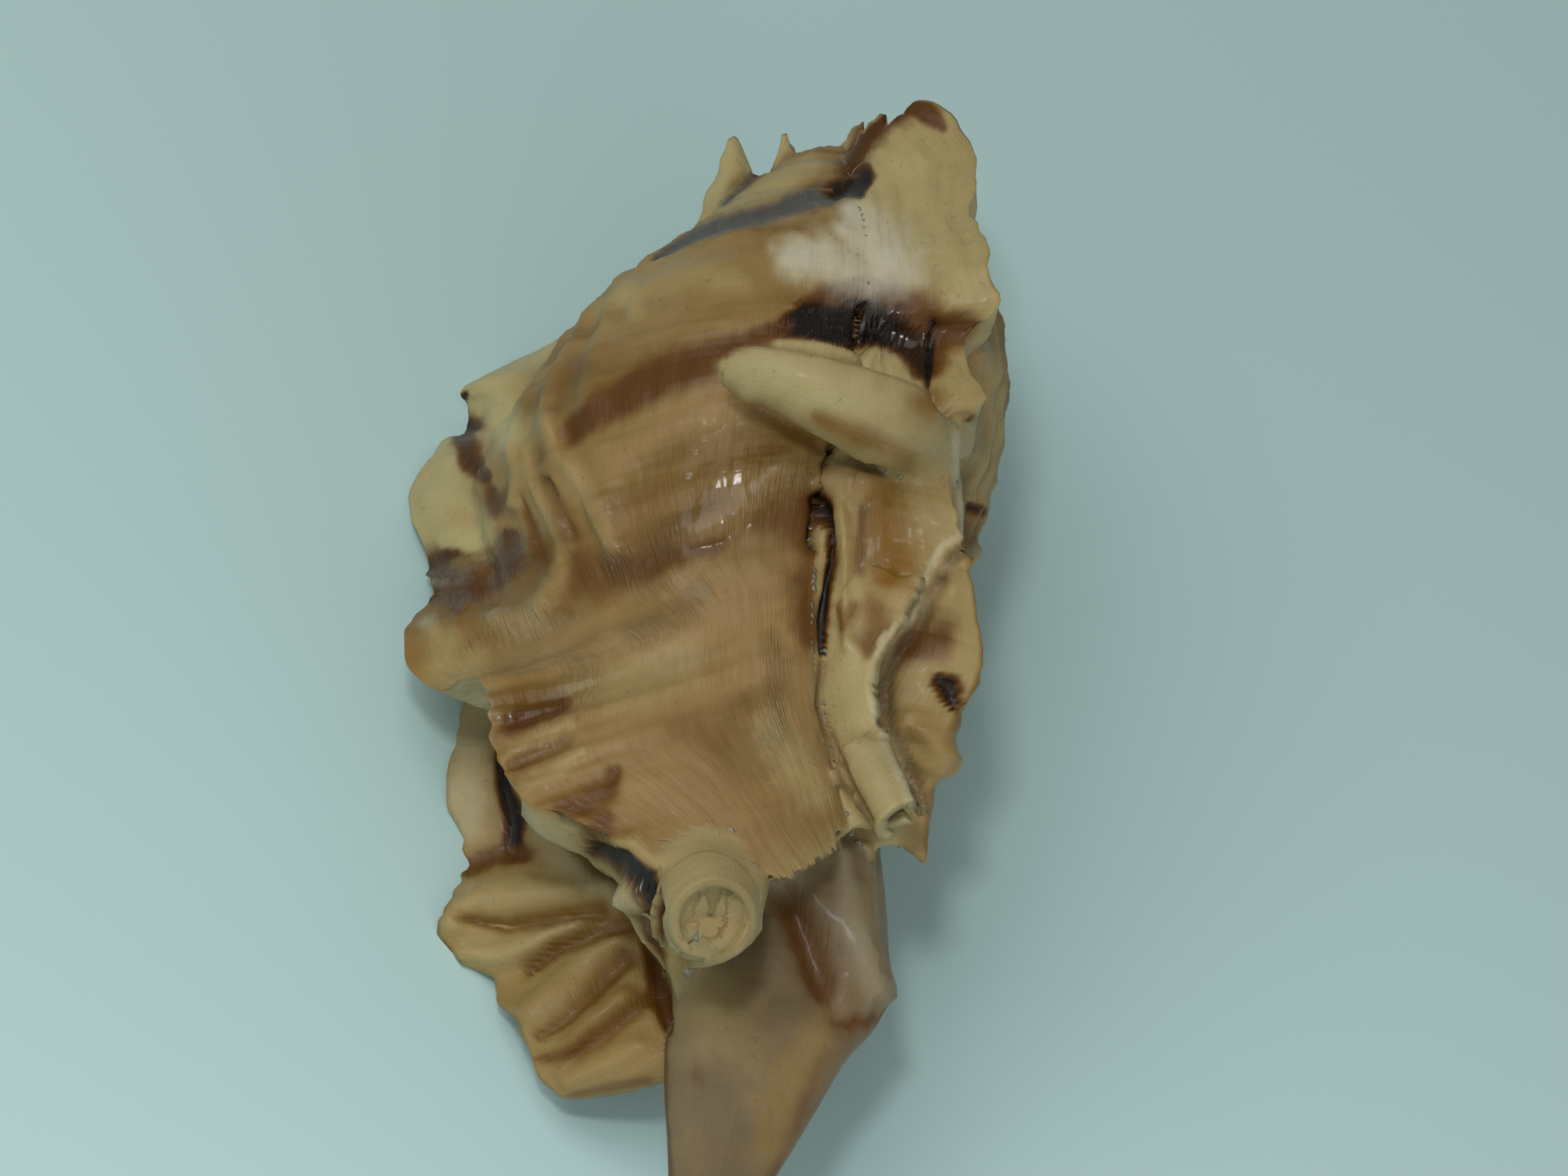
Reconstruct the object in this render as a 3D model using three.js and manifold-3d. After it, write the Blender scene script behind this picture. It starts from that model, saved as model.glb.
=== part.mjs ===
// A large three-winged murex shell, lying with its mouth side down, in millimetres with +Z up.
//
// The shell grows in stages. Each stage is a third of a whorl: a sheet that starts in the groove under the
// last wing, runs round the axis and flares out into the next wing. The wing's inner face then folds back
// down to a new groove. Older stages are smaller copies of the front one, turned about the axis.
import * as THREE from "three";
import { mergeVertices } from "three/addons/utils/BufferGeometryUtils.js";
import Module from "manifold-3d";

const wasm = await Module();
wasm.setup();

// Driving dimensions. The shell's own frame has its apex at the origin, its axis along Z with the canal
// pointing down, and angle 0 on its front, growing to the right.
const whorlGrowth = 1.9; // how many times larger each whorl is than the last
const wingStep = 120; // degrees between one wing and the next
const olderStages = 6; // stages behind the front wing's own
const canalTip = -108; // height of the end of the siphonal canal
const spireWear = 0.55; // share of their flare that the spire's wings have lost
const funnelWear = 0.5; // the same at the end of the front wing's old funnel
const wallThickness = 1.8; // of the last stage, round the mouth
const closedThickness = 8.8; // of its wall under the funnel, where the mouth ends
const coreShare = 0.12; // radius of an older stage's inside, as a share of its groove's
const leastRadius = 0.6; // of the inside, before the stage is scaled
const bodyFlare = 11; // how sharply a sheet turns out into its wing, on the body
const funnelFlare = 1.6; // and on the funnel, where it turns out early
const bodyHollow = 1.2; // how deep a wing's inner face is dished, on the body
const funnelHollow = 6; // and under the funnel
const tuckRows = 2; // rows that turn in below each stage's lower end
const tuckIn = 1.8; // and how far each of them goes in
const tuckUp = 2.5; // and up
const upAngle = 18.06; // angle on the shell that faces up as it lies on two wings and the flange
const upLean = 4.91; // degrees that the apex end rises above level
const contactDepth = 0.7; // ground off each of the three points that it rests on
const weldDistance = 0.001;
const shortestEdge = 0.08; // slivers along the joins have shorter edges, which are dropped

// Each row is [place from suture 0 to canal 1, angle, radius, height]. Rows between are interpolated.
// Groove at the foot of the front wing, where the last stage starts.
const frontGroove = [
  [0.0, 4, 9.3, -10.5],
  [0.09, 9, 12.5, -13.3],
  [0.18, 12, 15.3, -17.8],
  [0.27, 13, 17.0, -23.4],
  [0.36, 13, 17.5, -29.0],
  [0.45, 12, 17.2, -35.0],
  [0.55, 9, 16.5, -41.0],
  [0.64, 8, 15.6, -47.0],
  [0.73, 10, 14.6, -53.0],
  [0.82, 15, 13.8, -58.5],
  [0.91, 25, 13.2, -64.0],
  [1.0, 36, 13.0, -69.0],
];
// The front wing's edge: a tall back lobe, a notch, pointed lobes, and an older funnel round the right side.
const frontEdge = [
  [0.0, 20, 10.5, -6.5],
  [0.05, 27, 13.0, -2.6],
  [0.11, 40, 16.0, -6.2],
  [0.18, 36, 18.6, -14.0],
  [0.25, 35, 22.4, -19.0],
  [0.31, 37, 24.2, -24.3],
  [0.36, 34, 20.5, -27.6],
  [0.44, 36, 24.3, -34.5],
  [0.49, 34, 20.8, -37.8],
  [0.57, 36, 21.8, -44.0],
  [0.64, 46, 21.2, -49.0],
  [0.73, 62, 20.6, -53.5],
  [0.82, 74, 18.6, -58.5],
  [0.91, 94, 16.5, -62.0],
  [1.0, 109, 16.0, -66.0],
];
// Where the last stage would meet its lip with no flare, and the flared edge of that lip.
const lipBase = [
  [0.0, -110, 11.5, -13.0],
  [0.09, -112, 13.7, -16.8],
  [0.18, -113, 17.6, -22.0],
  [0.27, -112, 22.2, -29.0],
  [0.36, -110, 25.2, -36.0],
  [0.45, -106, 24.6, -43.0],
  [0.55, -97, 21.5, -50.0],
  [0.64, -78, 18.8, -57.5],
  [0.73, -62, 18.0, -64.5],
  [0.82, -48, 17.5, -70.0],
  [0.91, -28, 17.0, -75.5],
  [1.0, -9, 17.0, -80.0],
];
const lipEdge = [
  [0.0, -113, 13.5, -13.5],
  [0.09, -114, 17.5, -16.0],
  [0.16, -113, 24.0, -18.6],
  [0.22, -110, 29.4, -22.7],
  [0.27, -108, 29.3, -25.6],
  [0.33, -105, 30.5, -30.2],
  [0.4, -102, 31.7, -36.1],
  [0.46, -99, 29.3, -41.9],
  [0.53, -94, 28.6, -46.7],
  [0.58, -88, 30.0, -52.2],
  [0.63, -79, 26.8, -58.0],
  [0.67, -60, 26.4, -60.5],
  [0.76, -55, 25.8, -67.0],
  [0.84, -48, 24.0, -72.0],
  [0.91, -30, 20.8, -75.5],
  [0.96, -20, 20.0, -80.0],
  [1.0, -9, 20.0, -83.0],
];
// The foot of the lip's inner face, which draws in under the funnel to the canal.
const lipFoot = [
  [0.0, -116, 11.5, -13.0],
  [0.09, -113, 12.6, -16.5],
  [0.18, -112, 16.2, -22.0],
  [0.27, -111, 19.8, -28.5],
  [0.36, -110, 21.4, -35.5],
  [0.45, -110, 20.5, -43.0],
  [0.55, -111, 17.0, -50.0],
  [0.64, -112, 12.5, -57.0],
  [0.73, -110, 9.0, -63.0],
  [0.82, -105, 7.0, -69.0],
  [0.91, -95, 6.0, -75.0],
  [1.0, -84, 5.0, -80.0],
];
// The second flange, which runs down the left of the canal behind the funnel: its root and its edge.
const flangeRoot = [
  [0.0, -108, 19.0, -48.0],
  [0.25, -106, 12.0, -58.0],
  [0.5, -104, 7.0, -68.0],
  [0.75, -100, 5.0, -78.0],
  [1.0, -95, 3.0, -86.0],
];
const flangeEdge = [
  [0.0, -106, 22.5, -47.0],
  [0.15, -105, 25.0, -52.5],
  [0.3, -105, 25.6, -60.0],
  [0.45, -105, 23.6, -67.5],
  [0.6, -105, 24.4, -74.0],
  [0.72, -105, 19.4, -78.5],
  [0.84, -105, 16.6, -84.0],
  [0.93, -105, 13.8, -87.6],
  [1.0, -105, 6.0, -87.0],
];

// The flange on the front wing's foot, beside the groove, ending in an open tube.
const frontFlangeRoot = [
  [0.0, 12, 12.0, -46.0],
  [0.3, 13, 10.5, -53.0],
  [0.6, 20, 9.0, -59.0],
  [1.0, 36, 7.5, -68.0],
];
const frontFlangeEdge = [
  [0.0, 33, 19.5, -48.5],
  [0.2, 31, 18.0, -53.0],
  [0.35, 28, 16.6, -56.5],
  [0.6, 33, 16.6, -61.5],
  [0.8, 38, 17.6, -65.5],
  [1.0, 42, 18.0, -68.5],
];
// Rolled spines: the path of each, its radius at root and tip, the side it is open on and the arc it covers.
const spines = [
  {
    path: [[11.5, -12.5, -36.2], [6.5, -21.6, -38], [-0.5, -24.6, -37.7], [-6.3, -24.4, -36.3]],
    radii: [4.2, 2.1], open: [0, 0.1, 1], arc: 190, thickness: 1.3,
  },
  {
    path: [[-4.2, -11.5, -75.5], [-3.6, -16.5, -79.8], [-3.2, -20.6, -83.4]],
    radii: [6.6, 3.3], open: [0, 0.45, -0.89], arc: 330, thickness: 1.3,
  },
  {
    path: [[7.4, -12.4, -63], [9.4, -13.6, -66], [11.4, -14.4, -69]],
    radii: [2.6, 2.2], open: [0.2, 1, 0.2], arc: 250, thickness: 1.0,
  },
];
// The mouth's oval: its middle, and its half sizes round, out from and down the axis.
const mouth = { angle: -124, radius: 13.6, middle: -44, along: 10, across: 6.4, height: 16 };
// The column up the axis and the siphonal canal, as oval sections: height, half width, half depth, sideways
// and forward.
const canalSections = [
  [-12, 1.6, 1.6, 0.0, 0.0],
  [-38, 5.0, 5.0, 0.0, 0.0],
  [-60, 7.5, 7.0, 1.5, 0.5],
  [-73, 8.6, 6.0, 3.0, 1.0],
  [-80, 8.6, 4.4, 3.2, 1.5],
  [-84.5, 7.2, 3.8, 2.2, 2.4],
  [-89.5, 6.0, 3.2, 1.5, 3.2],
  [-94, 4.8, 2.8, 1.0, 4.0],
  [-99, 3.5, 2.5, 0.3, 5.0],
  [-104, 2.6, 2.1, -0.3, 6.2],
  [canalTip, 1.6, 1.5, -0.7, 7.2],
];
// Plates: their thickness at the root, and the height and number of their pleats.
const lipFlange = { root: flangeRoot, edge: flangeEdge, thickness: 1.8, pleatHeight: 0.9, pleats: 4 };
const frontFlange = {
  root: frontFlangeRoot, edge: frontFlangeEdge, thickness: 2.2, pleatHeight: 0, pleats: 0,
};
const edgeThinning = 0.5; // thickness of a plate's edge, as a share of its root's

const toRadians = (degrees) => (degrees * Math.PI) / 180;
const mix = THREE.MathUtils.lerp;
const smooth = THREE.MathUtils.smoothstep;

// A smooth curve through rows: gives [angle, radius, height] at a place along them.
function along(rows, place) {
  const last = rows.length - 2;
  let i = 0;
  while (i < last && rows[i + 1][0] < place) i += 1;
  const from = rows[i];
  const to = rows[i + 1];
  const before = rows[Math.max(i - 1, 0)];
  const after = rows[Math.min(i + 2, last + 1)];
  const span = to[0] - from[0];
  const t = THREE.MathUtils.clamp((place - from[0]) / span, 0, 1);
  return [1, 2, 3].map((k) => {
    const slopeFrom = ((to[k] - before[k]) / (to[0] - before[0])) * span;
    const slopeTo = ((after[k] - from[k]) / (after[0] - from[0])) * span;
    const t2 = t * t;
    const t3 = t2 * t;
    return (
      (2 * t3 - 3 * t2 + 1) * from[k] + (t3 - 2 * t2 + t) * slopeFrom +
      (3 * t2 - 2 * t3) * to[k] + (t3 - t2) * slopeTo
    );
  });
}

// A point of the shell from its angle, radius and height.
function pointAt(angle, radius, height) {
  const a = toRadians(angle);
  return new THREE.Vector3(radius * Math.sin(a), -radius * Math.cos(a), height);
}

// The same rows on a stage that is `steps` stages older.
function older(rows, steps) {
  const scale = whorlGrowth ** ((-steps * wingStep) / 360);
  return rows.map(([place, angle, radius, height]) => [
    place,
    angle + steps * wingStep,
    radius * scale,
    height * scale,
  ]);
}

// A wing's edge, worn back towards its foot: the front wing's old funnel, and the spire's small wings apart
// from their tall back lobes.
function wornEdge(steps) {
  const base = older(frontGroove, steps);
  return older(frontEdge, steps).map(([place, ...edge]) => {
    const foot = along(base, place);
    let wear = 0;
    if (steps === 0) wear = funnelWear * smooth(place, 0.6, 1);
    if (steps > 1) wear = spireWear * smooth(place, 0.06, 0.14);
    return [place, ...edge.map((value, k) => mix(value, foot[k], wear))];
  });
}

// A closed geometry from loops of points, each loop joined to the next, with fans over the two ends.
function loft(loops) {
  const points = loops.flat();
  const size = loops[0].length;
  const faces = [];
  for (let j = 0; j + 1 < loops.length; j += 1) {
    for (let i = 0; i < size; i += 1) {
      const a = j * size + i;
      const b = j * size + ((i + 1) % size);
      faces.push(a, b, b + size, a, b + size, a + size);
    }
  }
  return closedGeometry(points, faces, size, (loops.length - 1) * size);
}

// The end loops are closed by pairing each point with the one across the loop from it.
function closedGeometry(points, faces, size, lastLoop) {
  const half = size / 2;
  for (let i = 0; i + 1 < half; i += 1) {
    const a = i;
    const b = i + 1;
    const c = size - 2 - i;
    const d = size - 1 - i;
    faces.push(a, c, b, a, d, c);
    const [e, f, g, h] = [a, b, c, d].map((corner) => lastLoop + corner);
    faces.push(e, f, g, e, g, h);
  }
  const geometry = new THREE.BufferGeometry().setFromPoints(points);
  geometry.setIndex(faces);
  return geometry;
}

function toSolid(geometry) {
  const merged = mergeVertices(geometry, weldDistance);
  const vertProperties = merged.attributes.position.array;
  const triVerts = new Uint32Array(merged.index.array);
  const build = () => new wasm.Manifold(new wasm.Mesh({ numProp: 3, vertProperties, triVerts }));
  const solid = build();
  if (solid.volume() > 0) return solid;
  triVerts.reverse();
  return build();
}

// How sharply a sheet turns out into its wing: late on the body, early on the funnel.
const flarePower = (place) => mix(bodyFlare, funnelFlare, smooth(place, 0.5, 0.85));

function sheetPoint(stage, place, u) {
  const from = along(stage.start, place);
  const base = along(stage.base, place);
  const edge = along(stage.edge, place);
  const flare = u ** flarePower(place);
  const angle = mix(from[0], edge[0], u);
  const radius = mix(from[1], base[1], u) + (edge[1] - base[1]) * flare;
  const height = mix(from[2], base[2], u) + (edge[2] - base[2]) * flare;
  return [angle, radius, height];
}

// The wing's inner face, from its edge at 0 to the new groove at 1, hollow under the funnel.
function facePoint(stage, place, w) {
  const edge = along(stage.edge, place);
  const end = along(stage.end, place);
  const depth = mix(bodyHollow, funnelHollow, smooth(place, 0.6, 0.8));
  const hollow = stage.scale * depth * Math.sin(Math.PI * w);
  return [mix(edge[0], end[0], w), mix(edge[1], end[1], w) - hollow, mix(edge[2], end[2], w)];
}

// The inside: the wall of the mouth on the last stage, a solid core on the older ones.
function insidePoint(stage, place, u) {
  const from = along(stage.start, place);
  const end = along(stage.end, place);
  const closing = smooth(place, 0.5, 0.8);
  const wall = stage.hollow ? mix(wallThickness, closedThickness, closing) : 0;
  const share = stage.hollow ? 1 : coreShare;
  const radius = Math.max(mix(from[1], end[1], u) * share - wall, leastRadius * stage.scale);
  return [mix(from[0], end[0], u), radius, mix(from[2], end[2], u)];
}

// One stage as a closed solid: loops round the wall at each place from the suture to the canal.
function stageSolid(stage, rowCount, sheetSteps, faceSteps) {
  const loops = [];
  for (let j = 0; j < rowCount + tuckRows; j += 1) {
    const place = Math.min(j / (rowCount - 1), 1);
    const tuck = Math.max(j - rowCount + 1, 0) * stage.scale;
    const ring = [];
    for (let i = 0; i <= sheetSteps; i += 1) ring.push(sheetPoint(stage, place, i / sheetSteps));
    for (let i = 1; i <= faceSteps; i += 1) ring.push(facePoint(stage, place, i / faceSteps));
    const outside = ring.length;
    for (let i = 0; i < outside; i += 1) ring.push(insidePoint(stage, place, 1 - i / (outside - 1)));
    loops.push(
      ring.map(([angle, radius, height], i) => {
        const pull = i < outside ? tuck * tuckIn : 0;
        return pointAt(angle, Math.max(radius - pull, leastRadius * stage.scale), height + tuck * tuckUp);
      }),
    );
  }
  return toSolid(loft(loops));
}

// A thin plate between a root and an edge, with pleats that run from one to the other.
function flangeSolid(flange, rowCount, acrossSteps) {
  const loops = [];
  for (let j = 0; j < rowCount; j += 1) {
    const place = j / (rowCount - 1);
    const root = along(flange.root, place);
    const edge = along(flange.edge, place);
    const pleat = flange.pleatHeight * Math.sin(flange.pleats * place * Math.PI * 2);
    const sides = [-1, 1].map((side) => {
      const row = [];
      for (let i = 0; i <= acrossSteps; i += 1) {
        const t = i / acrossSteps;
        const [angle, radius, height] = [0, 1, 2].map((k) => mix(root[k], edge[k], t));
        const half = (flange.thickness * mix(1, edgeThinning, t)) / 2;
        const sideways = pointAt(angle + 90, 1, 0);
        row.push(pointAt(angle, radius, height).addScaledVector(sideways, pleat * t + side * half));
      }
      return row;
    });
    loops.push([...sides[0], ...sides[1].reverse()]);
  }
  return toSolid(loft(loops));
}

// A spine rolled up from a sheet, open along one side. Its sections are arcs square to its path.
function gutterSolid(spine, pathSteps, arcSteps) {
  const curve = new THREE.CatmullRomCurve3(spine.path.map((point) => new THREE.Vector3(...point)));
  const openTowards = new THREE.Vector3(...spine.open);
  const loops = [];
  for (let j = 0; j <= pathSteps; j += 1) {
    const t = j / pathSteps;
    const centre = curve.getPoint(t);
    const tangent = curve.getTangent(t);
    const open = openTowards.clone().addScaledVector(tangent, -openTowards.dot(tangent)).normalize();
    const across = new THREE.Vector3().crossVectors(tangent, open);
    const radius = mix(spine.radii[0], spine.radii[1], t);
    const arcPoint = (share, r) => {
      const a = toRadians(180 + (share - 0.5) * spine.arc);
      return centre.clone().addScaledVector(open, r * Math.cos(a)).addScaledVector(across, r * Math.sin(a));
    };
    const ring = [];
    for (let i = 0; i <= arcSteps; i += 1) ring.push(arcPoint(i / arcSteps, radius));
    for (let i = arcSteps; i >= 0; i -= 1) ring.push(arcPoint(i / arcSteps, radius - spine.thickness));
    loops.push(ring);
  }
  return toSolid(loft(loops));
}

// The siphonal canal: down the axis, bent a little to the front, and wide where it leaves the body.
function canalSolid(sides) {
  const loops = canalSections.map(([height, halfWidth, halfDepth, sideways, forward]) => {
    const ring = [];
    for (let i = 0; i < sides; i += 1) {
      const a = (i / sides) * Math.PI * 2;
      const x = sideways + halfWidth * Math.sin(a);
      ring.push(new THREE.Vector3(x, -forward - halfDepth * Math.cos(a), height));
    }
    return ring;
  });
  return toSolid(loft(loops));
}

// The mouth: an oval hollow between the lip and the whorl before it.
function mouthCutter(turns, rings) {
  const oval = new THREE.SphereGeometry(1, turns, rings);
  oval.deleteAttribute("normal");
  oval.deleteAttribute("uv");
  oval.scale(mouth.along, mouth.across, mouth.height);
  oval.rotateZ(toRadians(mouth.angle));
  const centre = pointAt(mouth.angle, mouth.radius, mouth.middle);
  oval.translate(centre.x, centre.y, centre.z);
  return toSolid(oval);
}

const lastStage = {
  start: frontGroove, base: lipBase, edge: lipEdge, end: lipFoot, scale: 1, hollow: true,
};
const frontStage = (steps) => ({
  start: older(frontGroove, steps + 1),
  base: older(frontGroove, steps),
  edge: wornEdge(steps),
  end: older(frontGroove, steps),
  scale: whorlGrowth ** ((-(steps + 1) * wingStep) / 360),
  hollow: false,
});

let shell = stageSolid(lastStage, 30, 12, 3);
for (let steps = 0; steps <= olderStages; steps += 1) {
  const rows = steps < 2 ? 24 : 16;
  shell = shell.add(stageSolid(frontStage(steps), rows, 7, 3));
}
shell = shell.add(canalSolid(12));
shell = shell.add(flangeSolid(lipFlange, 18, 4));
shell = shell.add(flangeSolid(frontFlange, 8, 4));
for (const spine of spines) shell = shell.add(gutterSolid(spine, 7, 8));
shell = shell.subtract(mouthCutter(24, 16));

// Draws the ends of each sliver's short edge together, where the faces round it stay closed.
function dropSlivers(geometry) {
  const at = geometry.attributes.position;
  const points = [];
  for (let i = 0; i < at.count; i += 1) points.push(new THREE.Vector3().fromBufferAttribute(at, i));
  let faces = [];
  const index = geometry.index.array;
  for (let i = 0; i < index.length; i += 3) faces.push([index[i], index[i + 1], index[i + 2]]);
  const neighbours = (i) => new Set(faces.filter((face) => face.includes(i)).flat());
  let short = true;
  while (short) {
    short = faces.flatMap(([a, b, c]) => [[a, b], [b, c], [c, a]]).find(([a, b]) => {
      if (a > b || points[a].distanceTo(points[b]) > shortestEdge) return false;
      const shared = [...neighbours(a)].filter((i) => neighbours(b).has(i));
      return shared.length === 4;
    });
    if (short) {
      const [kept, dropped] = short;
      faces = faces.map((face) => face.map((i) => (i === dropped ? kept : i)));
      faces = faces.filter((face) => new Set(face).size === 3);
    }
  }
  geometry.setIndex(faces.flat());
  return geometry;
}

// Small pockets sealed between stages are filled: only the outside body is kept, welded.
function outsideBody(solid) {
  const [largest] = solid.decompose().sort((a, b) => b.volume() - a.volume());
  const { vertProperties, triVerts } = largest.getMesh();
  const geometry = new THREE.BufferGeometry();
  geometry.setAttribute("position", new THREE.BufferAttribute(vertProperties, 3));
  geometry.setIndex(new THREE.BufferAttribute(triVerts, 1));
  return dropSlivers(mergeVertices(geometry, weldDistance));
}

// Turns the shell from its own frame to lie on the surface, with its axis along Y and its apex at +Y.
function layDown(geometry) {
  const lean = toRadians(upLean);
  const up = pointAt(upAngle, Math.cos(lean), Math.sin(lean));
  const right = new THREE.Vector3(0, 0, 1).cross(up).normalize();
  const toApex = new THREE.Vector3().crossVectors(up, right);
  geometry.applyMatrix4(new THREE.Matrix4().makeBasis(right, toApex, up).transpose());
  geometry.computeBoundingBox();
  return geometry.translate(0, 0, -geometry.boundingBox.min.z);
}

// Grinds the three lowest points to one plane, then puts the origin at the bottom centre of the box.
function settle(geometry) {
  const span = 4 * Math.abs(canalTip);
  const ground = new THREE.BoxGeometry(span, span, span);
  ground.deleteAttribute("normal");
  ground.deleteAttribute("uv");
  ground.translate(0, 0, contactDepth - span / 2);
  const settled = outsideBody(toSolid(geometry).subtract(toSolid(ground)));
  settled.computeBoundingBox();
  const { min, max } = settled.boundingBox;
  return settled.translate(-(min.x + max.x) / 2, -(min.y + max.y) / 2, -min.z);
}

const geometry = settle(layDown(outsideBody(shell)));

const shellMesh = new THREE.Mesh(
  geometry,
  new THREE.MeshStandardMaterial({ color: 0xb08a64, roughness: 0.35, metalness: 0 }),
);
shellMesh.name = "shell";
const part = new THREE.Group();
part.add(shellMesh);
export default part;
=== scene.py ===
import math

import bmesh
import bpy
import numpy as np
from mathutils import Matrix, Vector
from mathutils.bvhtree import BVHTree


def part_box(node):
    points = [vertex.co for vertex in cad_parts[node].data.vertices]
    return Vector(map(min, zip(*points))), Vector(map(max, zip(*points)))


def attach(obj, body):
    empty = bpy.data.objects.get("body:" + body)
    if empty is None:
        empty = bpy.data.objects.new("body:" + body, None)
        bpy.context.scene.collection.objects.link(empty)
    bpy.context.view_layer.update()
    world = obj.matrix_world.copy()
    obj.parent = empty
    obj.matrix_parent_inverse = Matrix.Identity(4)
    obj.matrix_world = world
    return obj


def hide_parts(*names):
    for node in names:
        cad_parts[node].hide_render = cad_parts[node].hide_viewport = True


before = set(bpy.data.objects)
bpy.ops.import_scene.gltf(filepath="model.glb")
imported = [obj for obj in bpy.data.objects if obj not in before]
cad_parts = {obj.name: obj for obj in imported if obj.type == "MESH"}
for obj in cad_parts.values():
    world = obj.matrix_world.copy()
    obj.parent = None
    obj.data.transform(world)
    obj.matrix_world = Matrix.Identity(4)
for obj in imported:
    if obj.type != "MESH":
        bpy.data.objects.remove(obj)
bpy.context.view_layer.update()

millimetre = 0.001

# The shell's own frame: apex at the origin, axis along Z with the canal down, angle 0 on its front.
# Every row is place from suture 0 to canal 1, then angle, radius and height, in degrees and millimetres.
growth = {
    "whorlGrowth": 1.9,
    "wingStep": 120,
    "olderStages": 6,
    "spireWear": 0.55,
    "funnelWear": 0.5,
    "wall": 1.8,
    "frontGroove": [
        (0.0, 4, 9.3, -10.5), (0.09, 9, 12.5, -13.3), (0.18, 12, 15.3, -17.8), (0.27, 13, 17.0, -23.4),
        (0.36, 13, 17.5, -29.0), (0.45, 12, 17.2, -35.0), (0.55, 9, 16.5, -41.0), (0.64, 8, 15.6, -47.0),
        (0.73, 10, 14.6, -53.0), (0.82, 15, 13.8, -58.5), (0.91, 25, 13.2, -64.0), (1.0, 36, 13.0, -69.0),
    ],
    "frontEdge": [
        (0.0, 20, 10.5, -6.5), (0.05, 27, 13.0, -2.6), (0.11, 40, 16.0, -6.2), (0.18, 36, 18.6, -14.0),
        (0.25, 35, 22.4, -19.0), (0.31, 37, 24.2, -24.3), (0.36, 34, 20.5, -27.6), (0.44, 36, 24.3, -34.5),
        (0.49, 34, 20.8, -37.8), (0.57, 36, 21.8, -44.0), (0.64, 46, 21.2, -49.0), (0.73, 62, 20.6, -53.5),
        (0.82, 74, 18.6, -58.5), (0.91, 94, 16.5, -62.0), (1.0, 109, 16.0, -66.0),
    ],
    "lipBase": [
        (0.0, -110, 11.5, -13.0), (0.09, -112, 13.7, -16.8), (0.18, -113, 17.6, -22.0),
        (0.27, -112, 22.2, -29.0), (0.36, -110, 25.2, -36.0), (0.45, -106, 24.6, -43.0),
        (0.55, -97, 21.5, -50.0), (0.64, -78, 18.8, -57.5), (0.73, -62, 18.0, -64.5),
        (0.82, -48, 17.5, -70.0), (0.91, -28, 17.0, -75.5), (1.0, -9, 17.0, -80.0),
    ],
    "lipEdge": [
        (0.0, -113, 13.5, -13.5), (0.09, -114, 17.5, -16.0), (0.16, -113, 24.0, -18.6),
        (0.22, -110, 29.4, -22.7), (0.27, -108, 29.3, -25.6), (0.33, -105, 30.5, -30.2),
        (0.4, -102, 31.7, -36.1), (0.46, -99, 29.3, -41.9), (0.53, -94, 28.6, -46.7),
        (0.58, -88, 30.0, -52.2), (0.63, -79, 26.8, -58.0), (0.67, -60, 26.4, -60.5),
        (0.76, -55, 25.8, -67.0), (0.84, -48, 24.0, -72.0), (0.91, -30, 20.8, -75.5),
        (0.96, -20, 20.0, -80.0), (1.0, -9, 20.0, -83.0),
    ],
    "lipFoot": [
        (0.0, -116, 11.5, -13.0), (0.09, -113, 12.6, -16.5), (0.18, -112, 16.2, -22.0),
        (0.27, -111, 19.8, -28.5), (0.36, -110, 21.4, -35.5), (0.45, -110, 20.5, -43.0),
        (0.55, -111, 17.0, -50.0), (0.64, -112, 12.5, -57.0), (0.73, -110, 9.0, -63.0),
        (0.82, -105, 7.0, -69.0), (0.91, -95, 6.0, -75.0), (1.0, -84, 5.0, -80.0),
    ],
}


def mix(a, b, share):
    return a + (b - a) * share


def smooth(value, low, high):
    share = np.clip((value - low) / (high - low), 0, 1)
    return share * share * (3 - 2 * share)


def bump(value, centre, width):
    return np.exp(-(((value - centre) / width) ** 2))


# Smooth noise between -1 and 1 over a plane, the same for each seed.
def wander(x, y, seed):
    lattice = np.random.default_rng(seed).uniform(-1, 1, (64, 64))
    x, y = np.broadcast_arrays(np.asarray(x, float), np.asarray(y, float))
    column, row = np.floor(x).astype(int), np.floor(y).astype(int)
    s, t = x - column, y - row
    s, t = s * s * (3 - 2 * s), t * t * (3 - 2 * t)
    pick = lambda i, j: lattice[i % 64, j % 64]
    low = mix(pick(column, row), pick(column + 1, row), s)
    high = mix(pick(column, row + 1), pick(column + 1, row + 1), s)
    return mix(low, high, t)


# A smooth curve through rows: an array of angle, radius and height for every place.
def rowCurve(rows, place):
    rows = np.array(rows, float)
    last = len(rows) - 2
    i = np.minimum(np.searchsorted(rows[1:, 0], place, side="left"), last)
    around = (np.maximum(i - 1, 0), i, i + 1, np.minimum(i + 2, last + 1))
    before, start, end, after = (rows[k] for k in around)
    span = (end[..., 0] - start[..., 0])[..., None]
    t = np.clip((place - start[..., 0])[..., None] / span, 0, 1)
    slopeStart = (end - before)[..., 1:] / (end - before)[..., :1] * span
    slopeEnd = (after - start)[..., 1:] / (after - start)[..., :1] * span
    return (
        (2 * t**3 - 3 * t**2 + 1) * start[..., 1:] + (t**3 - 2 * t**2 + t) * slopeStart
        + (3 * t**2 - 2 * t**3) * end[..., 1:] + (t**3 - t**2) * slopeEnd
    )


def pointAt(polar):
    turn = np.radians(polar[..., 0])
    return np.stack([polar[..., 1] * np.sin(turn), -polar[..., 1] * np.cos(turn), polar[..., 2]], -1)


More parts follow.
